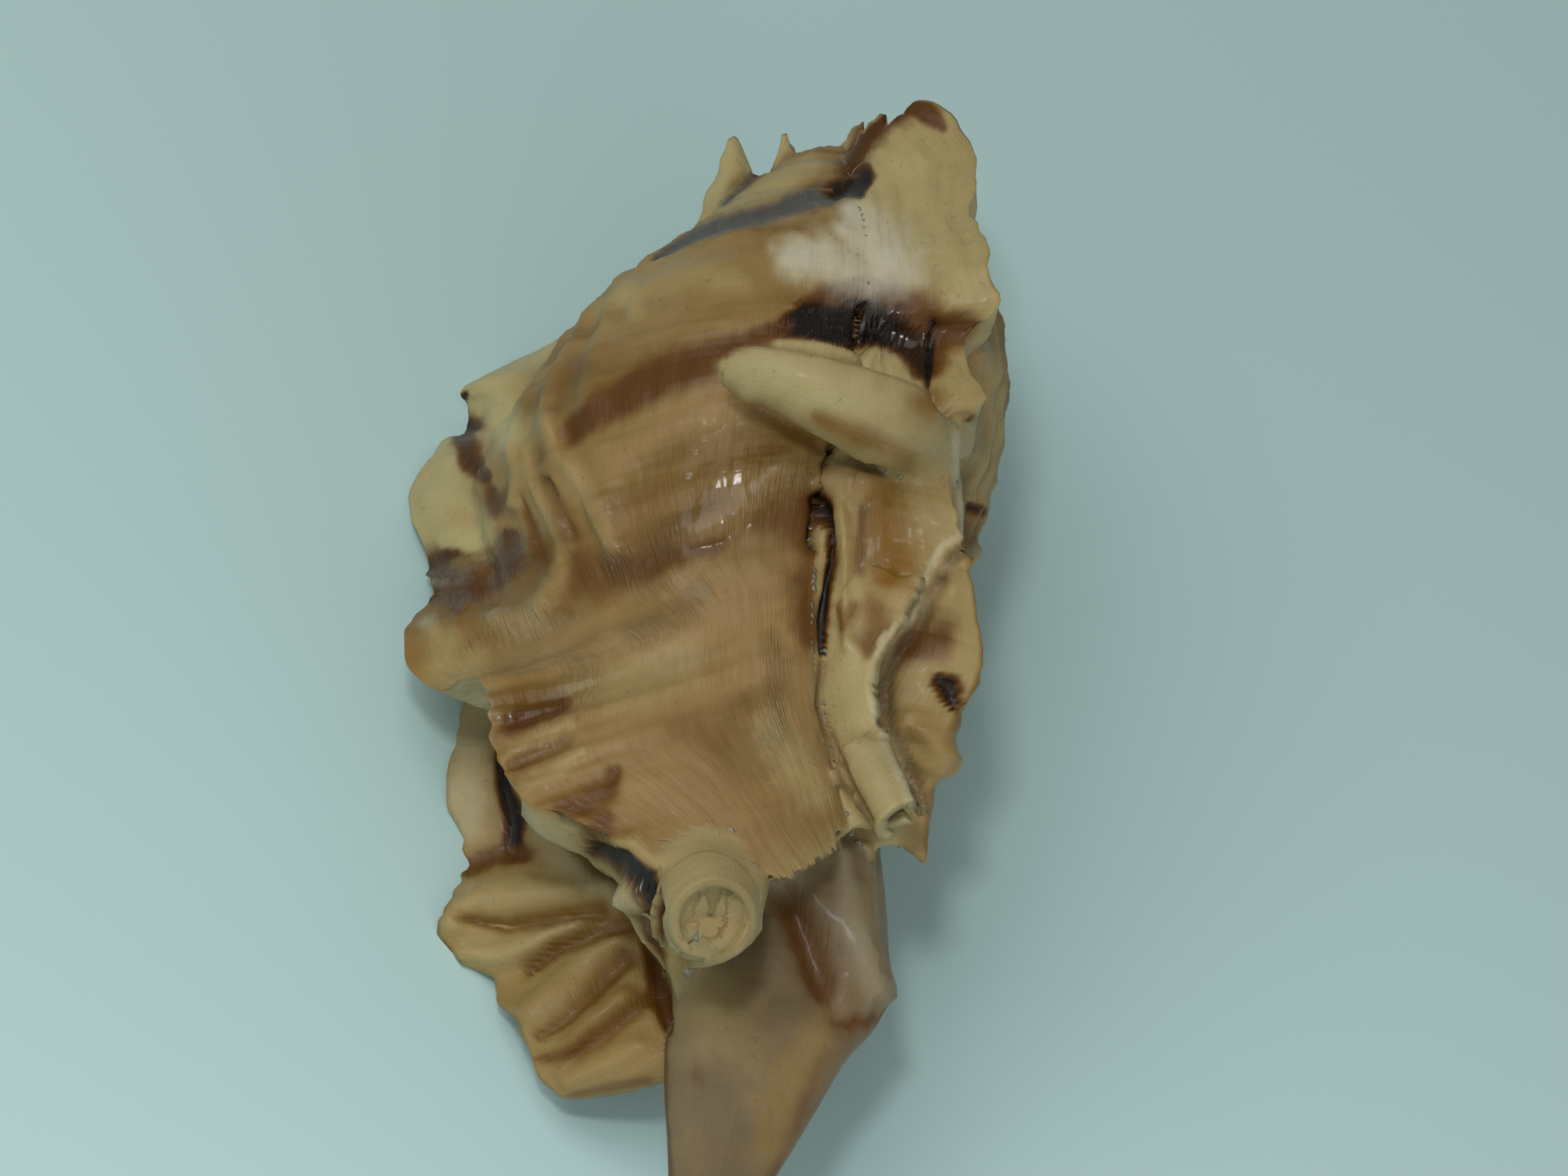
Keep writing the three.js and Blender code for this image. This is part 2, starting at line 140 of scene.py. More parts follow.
def older(rows, steps):
    scale = growth["whorlGrowth"] ** (-steps * growth["wingStep"] / 360)
    return [(place, angle + steps * growth["wingStep"], r * scale, h * scale) for place, angle, r, h in rows]


# Unit outward normals of a closed tube of grid points, whose last column repeats its first.
def tubeNormals(points):
    wrapped = np.concatenate([points[:, -2:-1], points, points[:, 1:2]], 1)
    across = np.gradient(wrapped, axis=1)[:, 1:-1]
    down = np.gradient(points, axis=0)
    normal = np.cross(across, down)
    if np.sum(normal * (points - points.mean(1, keepdims=True))) < 0:
        normal = -normal
    return normal / np.maximum(np.linalg.norm(normal, axis=-1, keepdims=True), 1e-9)


# The zones' fourth channel holds a piece's part number, as a share of this.
partScale = 20


# A closed tube of grid points, columns round it and rows along it, as a bmesh with growth UVs and paint.
def loftGrid(points, uvs, zones, marks, part):
    rows, columns = points.shape[:2]
    bm = bmesh.new()
    uvLayer = bm.loops.layers.uv.new("growth")
    zoneLayer = bm.verts.layers.float_color.new("zones")
    markLayer = bm.verts.layers.float_color.new("marks")
    bmesh.ops.create_grid(bm, x_segments=columns - 1, y_segments=rows - 1, size=1, calc_uvs=True)
    bm.verts.ensure_lookup_table()
    flat = points.reshape(-1, 3)
    flatUv = uvs.reshape(-1, 2)
    flatZones = np.concatenate([zones, np.full(zones.shape[:2] + (1,), part / partScale)], -1).reshape(-1, 4)
    flatMarks = np.concatenate([marks, np.zeros(marks.shape[:2] + (1,))], -1).reshape(-1, 4)
    for i, vert in enumerate(bm.verts):
        vert.co = flat[i]
        vert[zoneLayer] = flatZones[i]
        vert[markLayer] = flatMarks[i]
        for loop in vert.link_loops:
            loop[uvLayer].uv = flatUv[i]
    bmesh.ops.remove_doubles(bm, verts=bm.verts, dist=1e-5)
    bmesh.ops.holes_fill(bm, edges=[edge for edge in bm.edges if edge.is_boundary], sides=0)
    bmesh.ops.triangulate(bm, faces=[face for face in bm.faces if len(face.verts) > 4])
    bmesh.ops.recalc_face_normals(bm, faces=bm.faces)
    if bm.calc_volume(signed=True) < 0:
        bmesh.ops.reverse_faces(bm, faces=bm.faces)
    return bm


def meshPiece(name, bm):
    mesh = bpy.data.meshes.new(name)
    bm.to_mesh(mesh)
    bm.free()
    piece = bpy.data.objects.new(name, mesh)
    bpy.context.scene.collection.objects.link(piece)
    return piece


# The last stage: from the groove at the front wing's foot round the left to the flared lip and funnel.
lastStage = {
    "start": growth["frontGroove"], "base": growth["lipBase"], "edge": growth["lipEdge"],
    "end": growth["lipFoot"], "scale": 1, "hollow": True,
    "rows": 218, "sheetSteps": 142, "faceSteps": 24, "insideSteps": 8, "stage": 0,
}


# A wing's edge, worn back at the front wing's old funnel and on the spire, apart from its tall back lobes.
def wornEdge(steps):
    edge = older(growth["frontEdge"], steps)
    foot = rowCurve(older(growth["frontGroove"], steps), np.array([row[0] for row in edge]))
    worn = []
    for (place, *values), below in zip(edge, foot):
        wear = growth["spireWear"] * float(smooth(place, 0.06, 0.14)) if steps > 1 else 0
        if steps == 0:
            wear = growth["funnelWear"] * float(smooth(place, 0.6, 1))
        worn.append((place, *(mix(value, low, wear) for value, low in zip(values, below))))
    return worn


def frontStage(steps, rows, sheetSteps, faceSteps):
    return {
        "start": older(growth["frontGroove"], steps + 1), "base": older(growth["frontGroove"], steps),
        "edge": wornEdge(steps), "end": older(growth["frontGroove"], steps),
        "scale": growth["whorlGrowth"] ** (-(steps + 1) * growth["wingStep"] / 360), "hollow": False,
        "rows": rows, "sheetSteps": sheetSteps, "faceSteps": faceSteps, "insideSteps": 6, "stage": steps + 1,
    }


# The place, width and height of the cords round the whorl, the wing's gutters and the ribs along the axis,
# then how many threads there are and how far apart the frills stand.
relief = {
    "cords": [
        (0.1, 0.014, 0.2), (0.17, 0.018, 0.35), (0.235, 0.016, 0.4), (0.33, 0.015, 0.3), (0.4, 0.018, 0.45),
        (0.455, 0.012, 0.25), (0.52, 0.014, 0.35), (0.575, 0.013, 0.35), (0.63, 0.012, 0.3),
        (0.69, 0.012, 0.3), (0.75, 0.012, 0.3), (0.81, 0.012, 0.3), (0.87, 0.012, 0.28), (0.93, 0.012, 0.25),
    ],
    "gutters": [(0.285, 0.02, 1.5), (0.465, 0.022, 1.4), (0.62, 0.016, 0.9)],
    "ribs": [(0.56, 0.035, 0.55), (0.66, 0.03, 0.75), (0.755, 0.03, 0.6), (0.3, 0.07, 0.25)],
    "threads": 82,
    "frill": 0.025,
}


def plainPaint(points):
    return np.zeros(points.shape[:2] + (3,))


# How far a wing is rippled: along the turn, out from the axis and up it, growing towards the edge.
def wingRipple(stage, u, row):
    near = smooth(u, 0.8, 1.0)
    onWing = 1 - smooth(row, 0.6, 0.68)
    gutters = sum(depth * bump(row, at, width) for at, width, depth in relief["gutters"])
    wave = wander(row * 26, 0.5, 11 + stage["stage"]) * 0.9
    share = 0.25 if stage["stage"] else smooth(row, 0.58, 0.66)
    frill = np.sin(row * math.tau / relief["frill"] + 3 * wander(row * 14, 0.3, 5)) * share
    jag = wander(row * 95, 0.7, 21 + stage["stage"]) * 0.22 + wander(row * 38, 0.2, 31 + stage["stage"]) * 0.6
    turn = (0.5 - gutters + wave * 0.6 + frill * 0.15) * near * onWing
    spread = smooth(u, 0.62, 1.0)
    out = (jag * onWing + frill * 0.3 * onWing) * smooth(u, 0.93, 1) + frill * 0.2 * (1 - onWing) * spread
    rise = (jag * 0.6 * (1 - onWing)) * smooth(u, 0.94, 1)
    return np.stack([turn, out, rise], -1) * stage["scale"] ** 0.7


# Height of the outer surface's cords, threads, growth folds and ribs, in millimetres.
def sheetRelief(stage, u, row):
    cords = sum(height * bump(row + 0.012 * (u - 0.5), at, width) for at, width, height in relief["cords"])
    ribs = sum(height * bump(u + 0.06 * (row - 0.3), at, width) for at, width, height in relief["ribs"])
    ribs = ribs * smooth(row, 0.06, 0.16) * (1 - smooth(row, 0.5, 0.62))
    valley = -0.9 * bump(u, 0.9, 0.03) * smooth(row, 0.1, 0.2) * (1 - smooth(row, 0.5, 0.62))
    threads = np.sin(row * math.tau * relief["threads"] + 1.5 * wander(u * 5, row * 9, 3)) * 0.03
    folds = wander(u * 26 + 1.6 * wander(row * 7, u * 4, 9), row * 8, 7 + stage["stage"])
    wrinkles = wander(u * 85 + 2 * wander(row * 22, u * 9, 19), row * 44, 13)
    fade = np.minimum(smooth(u, 0, 0.05), 1 - smooth(u, 0.97, 1))
    fine = (threads + folds * 0.11 + wrinkles * 0.07) * (1 - 0.5 * smooth(row, 0.5, 0.65))
    return (cords * (0.4 + 0.6 * u) + ribs + valley + fine) * fade


# Height of the wing face's rays and growth steps.
def faceRelief(w, row):
    rays = np.sin(row * math.tau * 55 + 2 * wander(row * 20, w * 2, 4)) * 0.08 * (1 - w)
    steps = wander(w * 9, row * 8, 15) * 0.3 + wander(w * 22, row * 40, 16) * 0.08
    return (rays + steps) * np.minimum(smooth(w, 0, 0.12), 1 - smooth(w, 0.92, 1))


# Pigment of the outer surface: brown bands that run out to the gutters, pale lobes between them.
def paintSheet(u, row, zones, marks):
    wing = smooth(u, 0.87, 0.95) * (1 - smooth(row, 0.6, 0.66))
    lowBand = bump(row - mix(0.36, 0.465, u), 0, 0.018)
    strength = 0.62 + 0.3 * wing + 0.2 * (1 - smooth(u, 0, 0.2)) - 0.3 * bump(u, 0.7, 0.12)
    gutter = bump(row, 0.285, 0.017) * wing
    midBand = bump(row - mix(0.6, 0.54, u), 0, 0.04) * (0.42 - 0.2 * smooth(u, 0.55, 0.8))
    midBand = midBand + 0.5 * bump(row, 0.6, 0.07) * (1 - smooth(u, 0.02, 0.12))
    rays = 0.5 + 0.5 * np.sin(row * math.tau / 0.05 + 1.2)
    funnel = smooth(row, 0.66, 0.7) * (1 - smooth(row, 0.93, 0.97)) * smooth(u, 0.74, 0.97)
    zones[..., 0] = np.clip(lowBand * strength + gutter * 0.95 + midBand + funnel * rays * 0.25, 0, 1)
    zones[..., 1] = wing * (1 - smooth(row, 0.5, 0.54)) * 0.85 + 0.35 * smooth(row, 0.95, 1)
    marks[..., 1] = wing * smooth(row, 0.48, 0.54) * 0.5 + 0.25 * funnel
    marks[..., 2] = 0.6 * smooth(row, 0.66, 0.8) * (1 - funnel)


# The wing's face: pale, with the gutters' brown showing through.
def paintFace(w, row, zones, marks):
    band = bump(row, 0.285, 0.02) + bump(row, 0.465, 0.02)
    zones[..., 0] = np.clip(band * (1 - smooth(w, 0.2, 0.6)) * 0.6, 0, 1)
    zones[..., 1] = 0.85 * (1 - 0.3 * smooth(row, 0.45, 0.6))
    marks[..., 1] = 0.25 * (1 - w)


# Pairs go from the body to the funnel, and lengths are in millimetres at the last stage.
sheetShape = {
    "crowding": 1.35,  # gathers the columns towards the edge
    "flare": (11, 1.6),  # how late the sheet turns outwards
    "faceHollow": (1.2, 6),
    "closing": 7,  # what the hollow stage's wall gains towards the funnel
    "coreShare": 0.12,  # how much of the radius a solid stage's core keeps
    "insideLeast": 0.6,
    "outsideLeast": 0.5,
    "tuckRows": 2,  # rows that turn in and up behind the last one
    "tuckIn": 1.8,
    "tuckUp": 2.5,
    "insideCream": 0.8,
}


# One stage of growth, a solid bounded by its outer sheet, its face and its inside.
def stagePiece(stage, name):
    rowCount = stage["rows"] + sheetShape["tuckRows"]
    index = np.arange(rowCount)
    place = np.minimum(index / (stage["rows"] - 1), 1)
    tuck = np.maximum(index - stage["rows"] + 1, 0) * stage["scale"]
    keys = ("start", "base", "edge", "end")
    start, base, edge, end = (rowCurve(stage[key], place)[:, None] for key in keys)
    row = place[:, None]

    t = np.linspace(0, 1, stage["sheetSteps"] + 1)[None]
    u = 1 - (1 - t) ** sheetShape["crowding"]
    flare = u ** mix(*sheetShape["flare"], smooth(row, 0.5, 0.85))
    out = edge[..., 1:] - base[..., 1:]
    sheet = np.concatenate([
        mix(start[..., :1], edge[..., :1], u[..., None]),
        mix(start[..., 1:], base[..., 1:], u[..., None]) + out * flare[..., None],
    ], -1)

    w = np.linspace(0, 1, stage["faceSteps"] + 1)[None, 1:]
    face = mix(edge, end, w[..., None])
    hollow = mix(*sheetShape["faceHollow"], smooth(row, 0.6, 0.8))
    face[..., 1] -= stage["scale"] * hollow * np.sin(np.pi * w)

    s = np.linspace(1, 0, stage["insideSteps"] + 1)[None]
    inside = mix(start, end, s[..., None])
    closing = smooth(row, 0.5, 0.8)
    wall = growth["wall"] + closing * sheetShape["closing"] if stage["hollow"] else 0
    share = 1 if stage["hollow"] else sheetShape["coreShare"]
    inside[..., 1] = np.maximum(inside[..., 1] * share - wall, sheetShape["insideLeast"] * stage["scale"])

    outside = np.concatenate([sheet, face], 1)
    ripple = wingRipple(stage, np.concatenate([u, 1 - 0.5 * w], 1), row)
    outside[..., 0] += np.degrees(ripple[..., 0] / np.maximum(outside[..., 1], 1))
    outside[..., 1:] += ripple[..., 1:]
    tucked = outside[..., 1] - tuck[:, None] * sheetShape["tuckIn"]
    outside[..., 1] = np.maximum(tucked, sheetShape["outsideLeast"] * stage["scale"])
    outside[..., 2] += tuck[:, None] * sheetShape["tuckUp"]
    inside[..., 2] += tuck[:, None] * sheetShape["tuckUp"]
    polar = np.concatenate([outside, inside, outside[:, :1]], 1)
    points = pointAt(polar)

    # Along the UVs the sheet runs to 1, the face to 1.4 and the inside to 2.4.
    uvs = np.zeros(points.shape[:2] + (2,))
    columns = np.concatenate([u[0], 1 + w[0] * 0.4, 1.4 + (1 - s[0]), [2.5]])
    uvs[..., 0] = columns[None] - stage["stage"]
    uvs[..., 1] = row
    sheetPart = slice(0, u.shape[1])
    facePart = slice(u.shape[1], u.shape[1] + w.shape[1])
    raised = np.zeros(points.shape[:2])
    raised[:, sheetPart] = sheetRelief(stage, u, row)
    raised[:, facePart] = faceRelief(w, row)
    raised[:, -1] = raised[:, 0]
    points = points + tubeNormals(points) * raised[..., None] * stage["scale"] ** 0.5
    zones, marks = plainPaint(points), plainPaint(points)
    paintSheet(u, row, zones[:, sheetPart], marks[:, sheetPart])
    paintFace(w, row, zones[:, facePart], marks[:, facePart])
    zones[:, facePart.stop :, 1] = sheetShape["insideCream"]
    zones[:, -1], marks[:, -1] = zones[:, 0], marks[:, 0]
    return meshPiece(name, loftGrid(points, uvs, zones, marks, stage["stage"]))


# Rows, sheet steps and face steps of the older wings, from the newest, and of each that is left on the spire.
wings = {"frontWing": (158, 66, 42), "backWing": (110, 58, 18), "leftWing": (80, 44, 12)}
spireWing = (50, 30, 10)
pieces = [stagePiece(lastStage, "lastWhorl")]
for steps, (name, counts) in enumerate(wings.items()):
    pieces.append(stagePiece(frontStage(steps, *counts), name))
for steps in range(len(wings), growth["olderStages"] + 1):
    pieces.append(stagePiece(frontStage(steps, *spireWing), f"spireWing{steps}"))
print("stages", [len(piece.data.polygons) for piece in pieces])


# A piece of the shell from a closed tube of points. Its paint is cream, slate and amber.
def tubePiece(name, points, part, paint):
    uvs = np.zeros(points.shape[:2] + (2,))
    uvs[..., 0] = part + np.linspace(0, 1, points.shape[1])[None]
    uvs[..., 1] = np.linspace(0, 1, points.shape[0])[:, None]
    zones, marks = plainPaint(points), plainPaint(points)
    zones[..., 1], zones[..., 2], marks[..., 1] = paint
    return meshPiece(name, loftGrid(points, uvs, zones, marks, part))


# The pleated flange that runs down from the lip, on the left of the canal.
lipFlange = {
    "root": [(0.0, -108, 19, -48), (0.25, -106, 12, -58), (0.5, -104, 7, -68), (0.75, -100, 5, -78),
             (1.0, -95, 3, -86)],
    "edge": [(0.0, -106, 22.5, -47), (0.15, -105, 25, -52.5), (0.3, -105, 25.6, -60),
             (0.45, -105, 23.6, -67.5), (0.6, -105, 24.4, -74), (0.72, -105, 19.4, -78.5),
             (0.84, -105, 16.6, -84), (0.93, -105, 13.8, -87.6), (1.0, -105, 6, -87)],
    "thickness": 1.8,
    "pleatHeight": 0.9,
    "pleats": 4,
    "jag": 1,
    "paint": (0.45, 0, 0.4),
    "rows": 120,
    "steps": 36,
    "part": 9,
}
# A smaller flange on the front, below the front wing.
frontFlange = {
    "root": [(0.0, 12, 12, -46), (0.3, 13, 10.5, -53), (0.6, 20, 9, -59), (1.0, 36, 7.5, -68)],
    "edge": [(0.0, 33, 19.5, -48.5), (0.2, 31, 18, -53), (0.35, 28, 16.6, -56.5), (0.6, 33, 16.6, -61.5),
             (0.8, 38, 17.6, -65.5), (1.0, 42, 18, -68.5)],
    "thickness": 2.2,
    "pleatHeight": 0,
    "pleats": 0,
    "jag": 0.25,
    "paint": (0.7, 0, 0),
    "rows": 60,
    "steps": 24,
    "part": 10,
}
# A frilled plate under the funnel.
lamella = {
    "root": [(0.0, -84, 11, -56), (0.5, -78, 10, -64), (1.0, -60, 9, -72)],
    "edge": [(0.0, -92, 16.5, -56), (0.3, -85, 18.6, -61), (0.6, -76, 17.6, -67), (1.0, -60, 13, -73)],
    "thickness": 1.2,
    "pleatHeight": 0.5,
    "pleats": 5,
    "jag": 0.9,
    "paint": (0.7, 0.1, 0.1),
    "rows": 70,
    "steps": 18,
    "part": 9.5,
}


# A pleated plate between its root and its edge, thinner towards the edge, with a jagged rim.
def flangePiece(name, flange):
    place = np.linspace(0, 1, flange["rows"])
    root, edge = (rowCurve(flange[key], place)[:, None] for key in ("root", "edge"))
    t = np.linspace(0, 1, flange["steps"] + 1)[None, :, None]
    middle = mix(root, edge, t)
    one, none = np.ones(middle.shape[:2]), np.zeros(middle.shape[:2])
    outward = pointAt(np.stack([middle[..., 0] + 90, one, none], -1))
    lift = flange["pleatHeight"] * t * np.sin(flange["pleats"] * place * math.tau)[:, None, None]
    jag = 0.9 * wander(place * 16, 0.4, 61) + 0.5 * wander(place * 45, 0.6, 62)
    middle[..., 1] += flange["jag"] * jag[:, None] * t[..., 0] ** 3
    half = flange["thickness"] * mix(1, 0.35, t) / 2
    sides = [pointAt(middle) + outward * (lift + side * half) for side in (-1, 1)]
    points = np.concatenate([sides[0], sides[1][:, ::-1], sides[0][:, :1]], 1)
    return tubePiece(name, points, flange["part"], flange["paint"])


# A spine rolled from a sheet, open along one side, its sections square to its path.
def gutterPiece(name, spine):
    path = np.array(spine["path"], float)
    knots = np.linspace(0, 1, len(path))
    rowsOfPath = [(knot, *point) for knot, point in zip(knots, path)]
    t = np.linspace(0, 1, spineMesh["rows"])
    centre = rowCurve(rowsOfPath, t)
    tangent = np.gradient(centre, axis=0)
    tangent /= np.linalg.norm(tangent, axis=1, keepdims=True)
    opening = np.array(spine["open"], float)
    openSide = opening[None] - (tangent @ opening)[:, None] * tangent
    openSide /= np.linalg.norm(openSide, axis=1, keepdims=True)
    across = np.cross(tangent, openSide)
    radii = spine["radii"]
    radius = np.interp(t, np.linspace(0, 1, len(radii)), radii)[:, None]
    turn = np.radians(180 + np.linspace(-0.5, 0.5, spineMesh["steps"] + 1) * spine["arc"])[None]
    thickness = mix(*spine["thickness"], t)[:, None]

    def arcAt(r):
        return (centre[:, None] + openSide[:, None] * (r * np.cos(turn))[..., None]
                + across[:, None] * (r * np.sin(turn))[..., None])

    outer, inner = arcAt(radius), arcAt(radius - thickness)
    points = np.concatenate([outer, inner[:, ::-1], outer[:, :1]], 1)
    return tubePiece(name, points, spineMesh["part"], spineMesh["paint"])


spineMesh = {"rows": 46, "steps": 26, "part": 12, "paint": (0.6, 0.1, 0)}
# Each path is in the shell's own frame. The side named open is left open, and the arc is how many degrees
# round are closed.
spines = {
    "longSpine": {
        "path": [(11.5, -12.5, -34.4), (6.5, -21.6, -37), (-0.5, -24.6, -36.8), (-6.3, -24.4, -35.6)],
        "radii": (3.6, 4.5, 3.4, 2.2), "open": (0, 0.1, 1), "arc": 190, "thickness": (1.3, 0.7)},
    "funnelTube": {
        "path": [(-4.2, -11.5, -75.5), (-3.2, -16.5, -79.3), (-2.2, -20.6, -82.5)],
        "radii": (6.6, 3.3), "open": (-0.2, 0.42, -0.88), "arc": 328, "thickness": (1.3, 0.6)},
    "tubeFloor": {
        "path": [(-3.2, -16.5, -79.3), (-2.8, -18.2, -80.6), (-2.5, -19.3, -81.5)],
        "radii": (4.6, 3.3), "open": (-0.45, 0.4, -0.8), "arc": 359.8, "thickness": (4.5, 3.25)},
    "flangeTube": {
        "path": [(7.4, -12.4, -63), (9.4, -13.6, -66), (11.4, -14.4, -69)],
        "radii": (2.6, 2.2), "open": (0.2, 1, 0.2), "arc": 250, "thickness": (1, 0.7)},
}

# Height, half width, half depth, sideways and forward of the column's and canal's oval sections.
canal = [
    (-12, 1.6, 1.6, 0, 0), (-38, 5, 5, 0, 0), (-60, 7.5, 7, 1.5, 0.5), (-73, 8.6, 6, 3, 1),
    (-80, 8.6, 4.4, 3.2, 1.5), (-84.5, 7.2, 3.8, 2.2, 2.4), (-89.5, 6, 3.2, 1.5, 3.2), (-94, 4.8, 2.8, 1, 4),
    (-99, 3.5, 2.5, 0.3, 5), (-104, 2.6, 2.1, -0.3, 6.2), (-108, 1.6, 1.5, -0.7, 7.2),
]
canalMesh = {"rows": 110, "sides": 56, "part": 8, "paint": (0.08, 0.5, 0.25)}


def canalPiece():
    table = np.array([(-height, height, *rest) for height, *rest in canal], float)
    at = np.linspace(table[0, 0], table[-1, 0], canalMesh["rows"])
    measures = [rowCurve(table[:, [0, k, k, k]], at)[:, :1] for k in range(1, 6)]
    height, halfWidth, halfDepth, sideways, forward = measures
    turn = np.linspace(0, math.tau, canalMesh["sides"] + 1)[None]
    points = np.stack([sideways + halfWidth * np.sin(turn), -forward - halfDepth * np.cos(turn),
                       height + 0 * turn], -1)
    return tubePiece("canal", points, canalMesh["part"], canalMesh["paint"])


pieces.append(canalPiece())
pieces.append(flangePiece("lipFlange", lipFlange))
pieces.append(flangePiece("frontFlange", frontFlange))
pieces.append(flangePiece("lamella", lamella))
for name, spine in spines.items():
    pieces.append(gutterPiece(name, spine))
print("pieces", sum(len(piece.data.polygons) for piece in pieces))

# The mouth's oval hollow: where its middle is, and its half sizes.
mouth = {"angle": -124, "radius": 13.6, "middle": -44, "along": 10, "across": 6.4, "height": 16}


def mouthPiece():
    bm = bmesh.new()
    bmesh.ops.create_icosphere(bm, subdivisions=5, radius=1)
    bmesh.ops.scale(bm, vec=(mouth["along"], mouth["across"], mouth["height"]), verts=bm.verts)
    turn = math.radians(mouth["angle"])
    for vert in bm.verts:
        x, y, z = vert.co
        vert.co = (x * math.cos(turn) - y * math.sin(turn), x * math.sin(turn) + y * math.cos(turn), z)
    centre = pointAt(np.array([mouth["angle"], mouth["radius"], mouth["middle"]], float))
    bmesh.ops.translate(bm, vec=Vector(centre), verts=bm.verts)
    return meshPiece("mouthHollow", bm)


# Joins others to the first piece, or cuts them from it.
def joinPieces(first, others, operation):
    collection = bpy.data.collections.new(operation.lower())
    bpy.context.scene.collection.children.link(collection)
    for other in others:
        bpy.context.scene.collection.objects.unlink(other)
        collection.objects.link(other)
    boolean = first.modifiers.new(operation, "BOOLEAN")
    boolean.operation = operation
    boolean.solver = "MANIFOLD"
    boolean.operand_type = "COLLECTION"
    boolean.collection = collection
    depsgraph = bpy.context.evaluated_depsgraph_get()
    joined = bpy.data.meshes.new_from_object(first.evaluated_get(depsgraph))
    first.modifiers.clear()
    first.data = joined
    for other in others:
        bpy.data.objects.remove(other)
    bpy.data.collections.remove(collection)
    return first


shell = joinPieces(pieces[0], pieces[1:], "UNION")
shell = joinPieces(shell, [mouthPiece()], "DIFFERENCE")
shell.name = shell.data.name = "murexShell"
print("joined", len(shell.data.polygons), "faces")

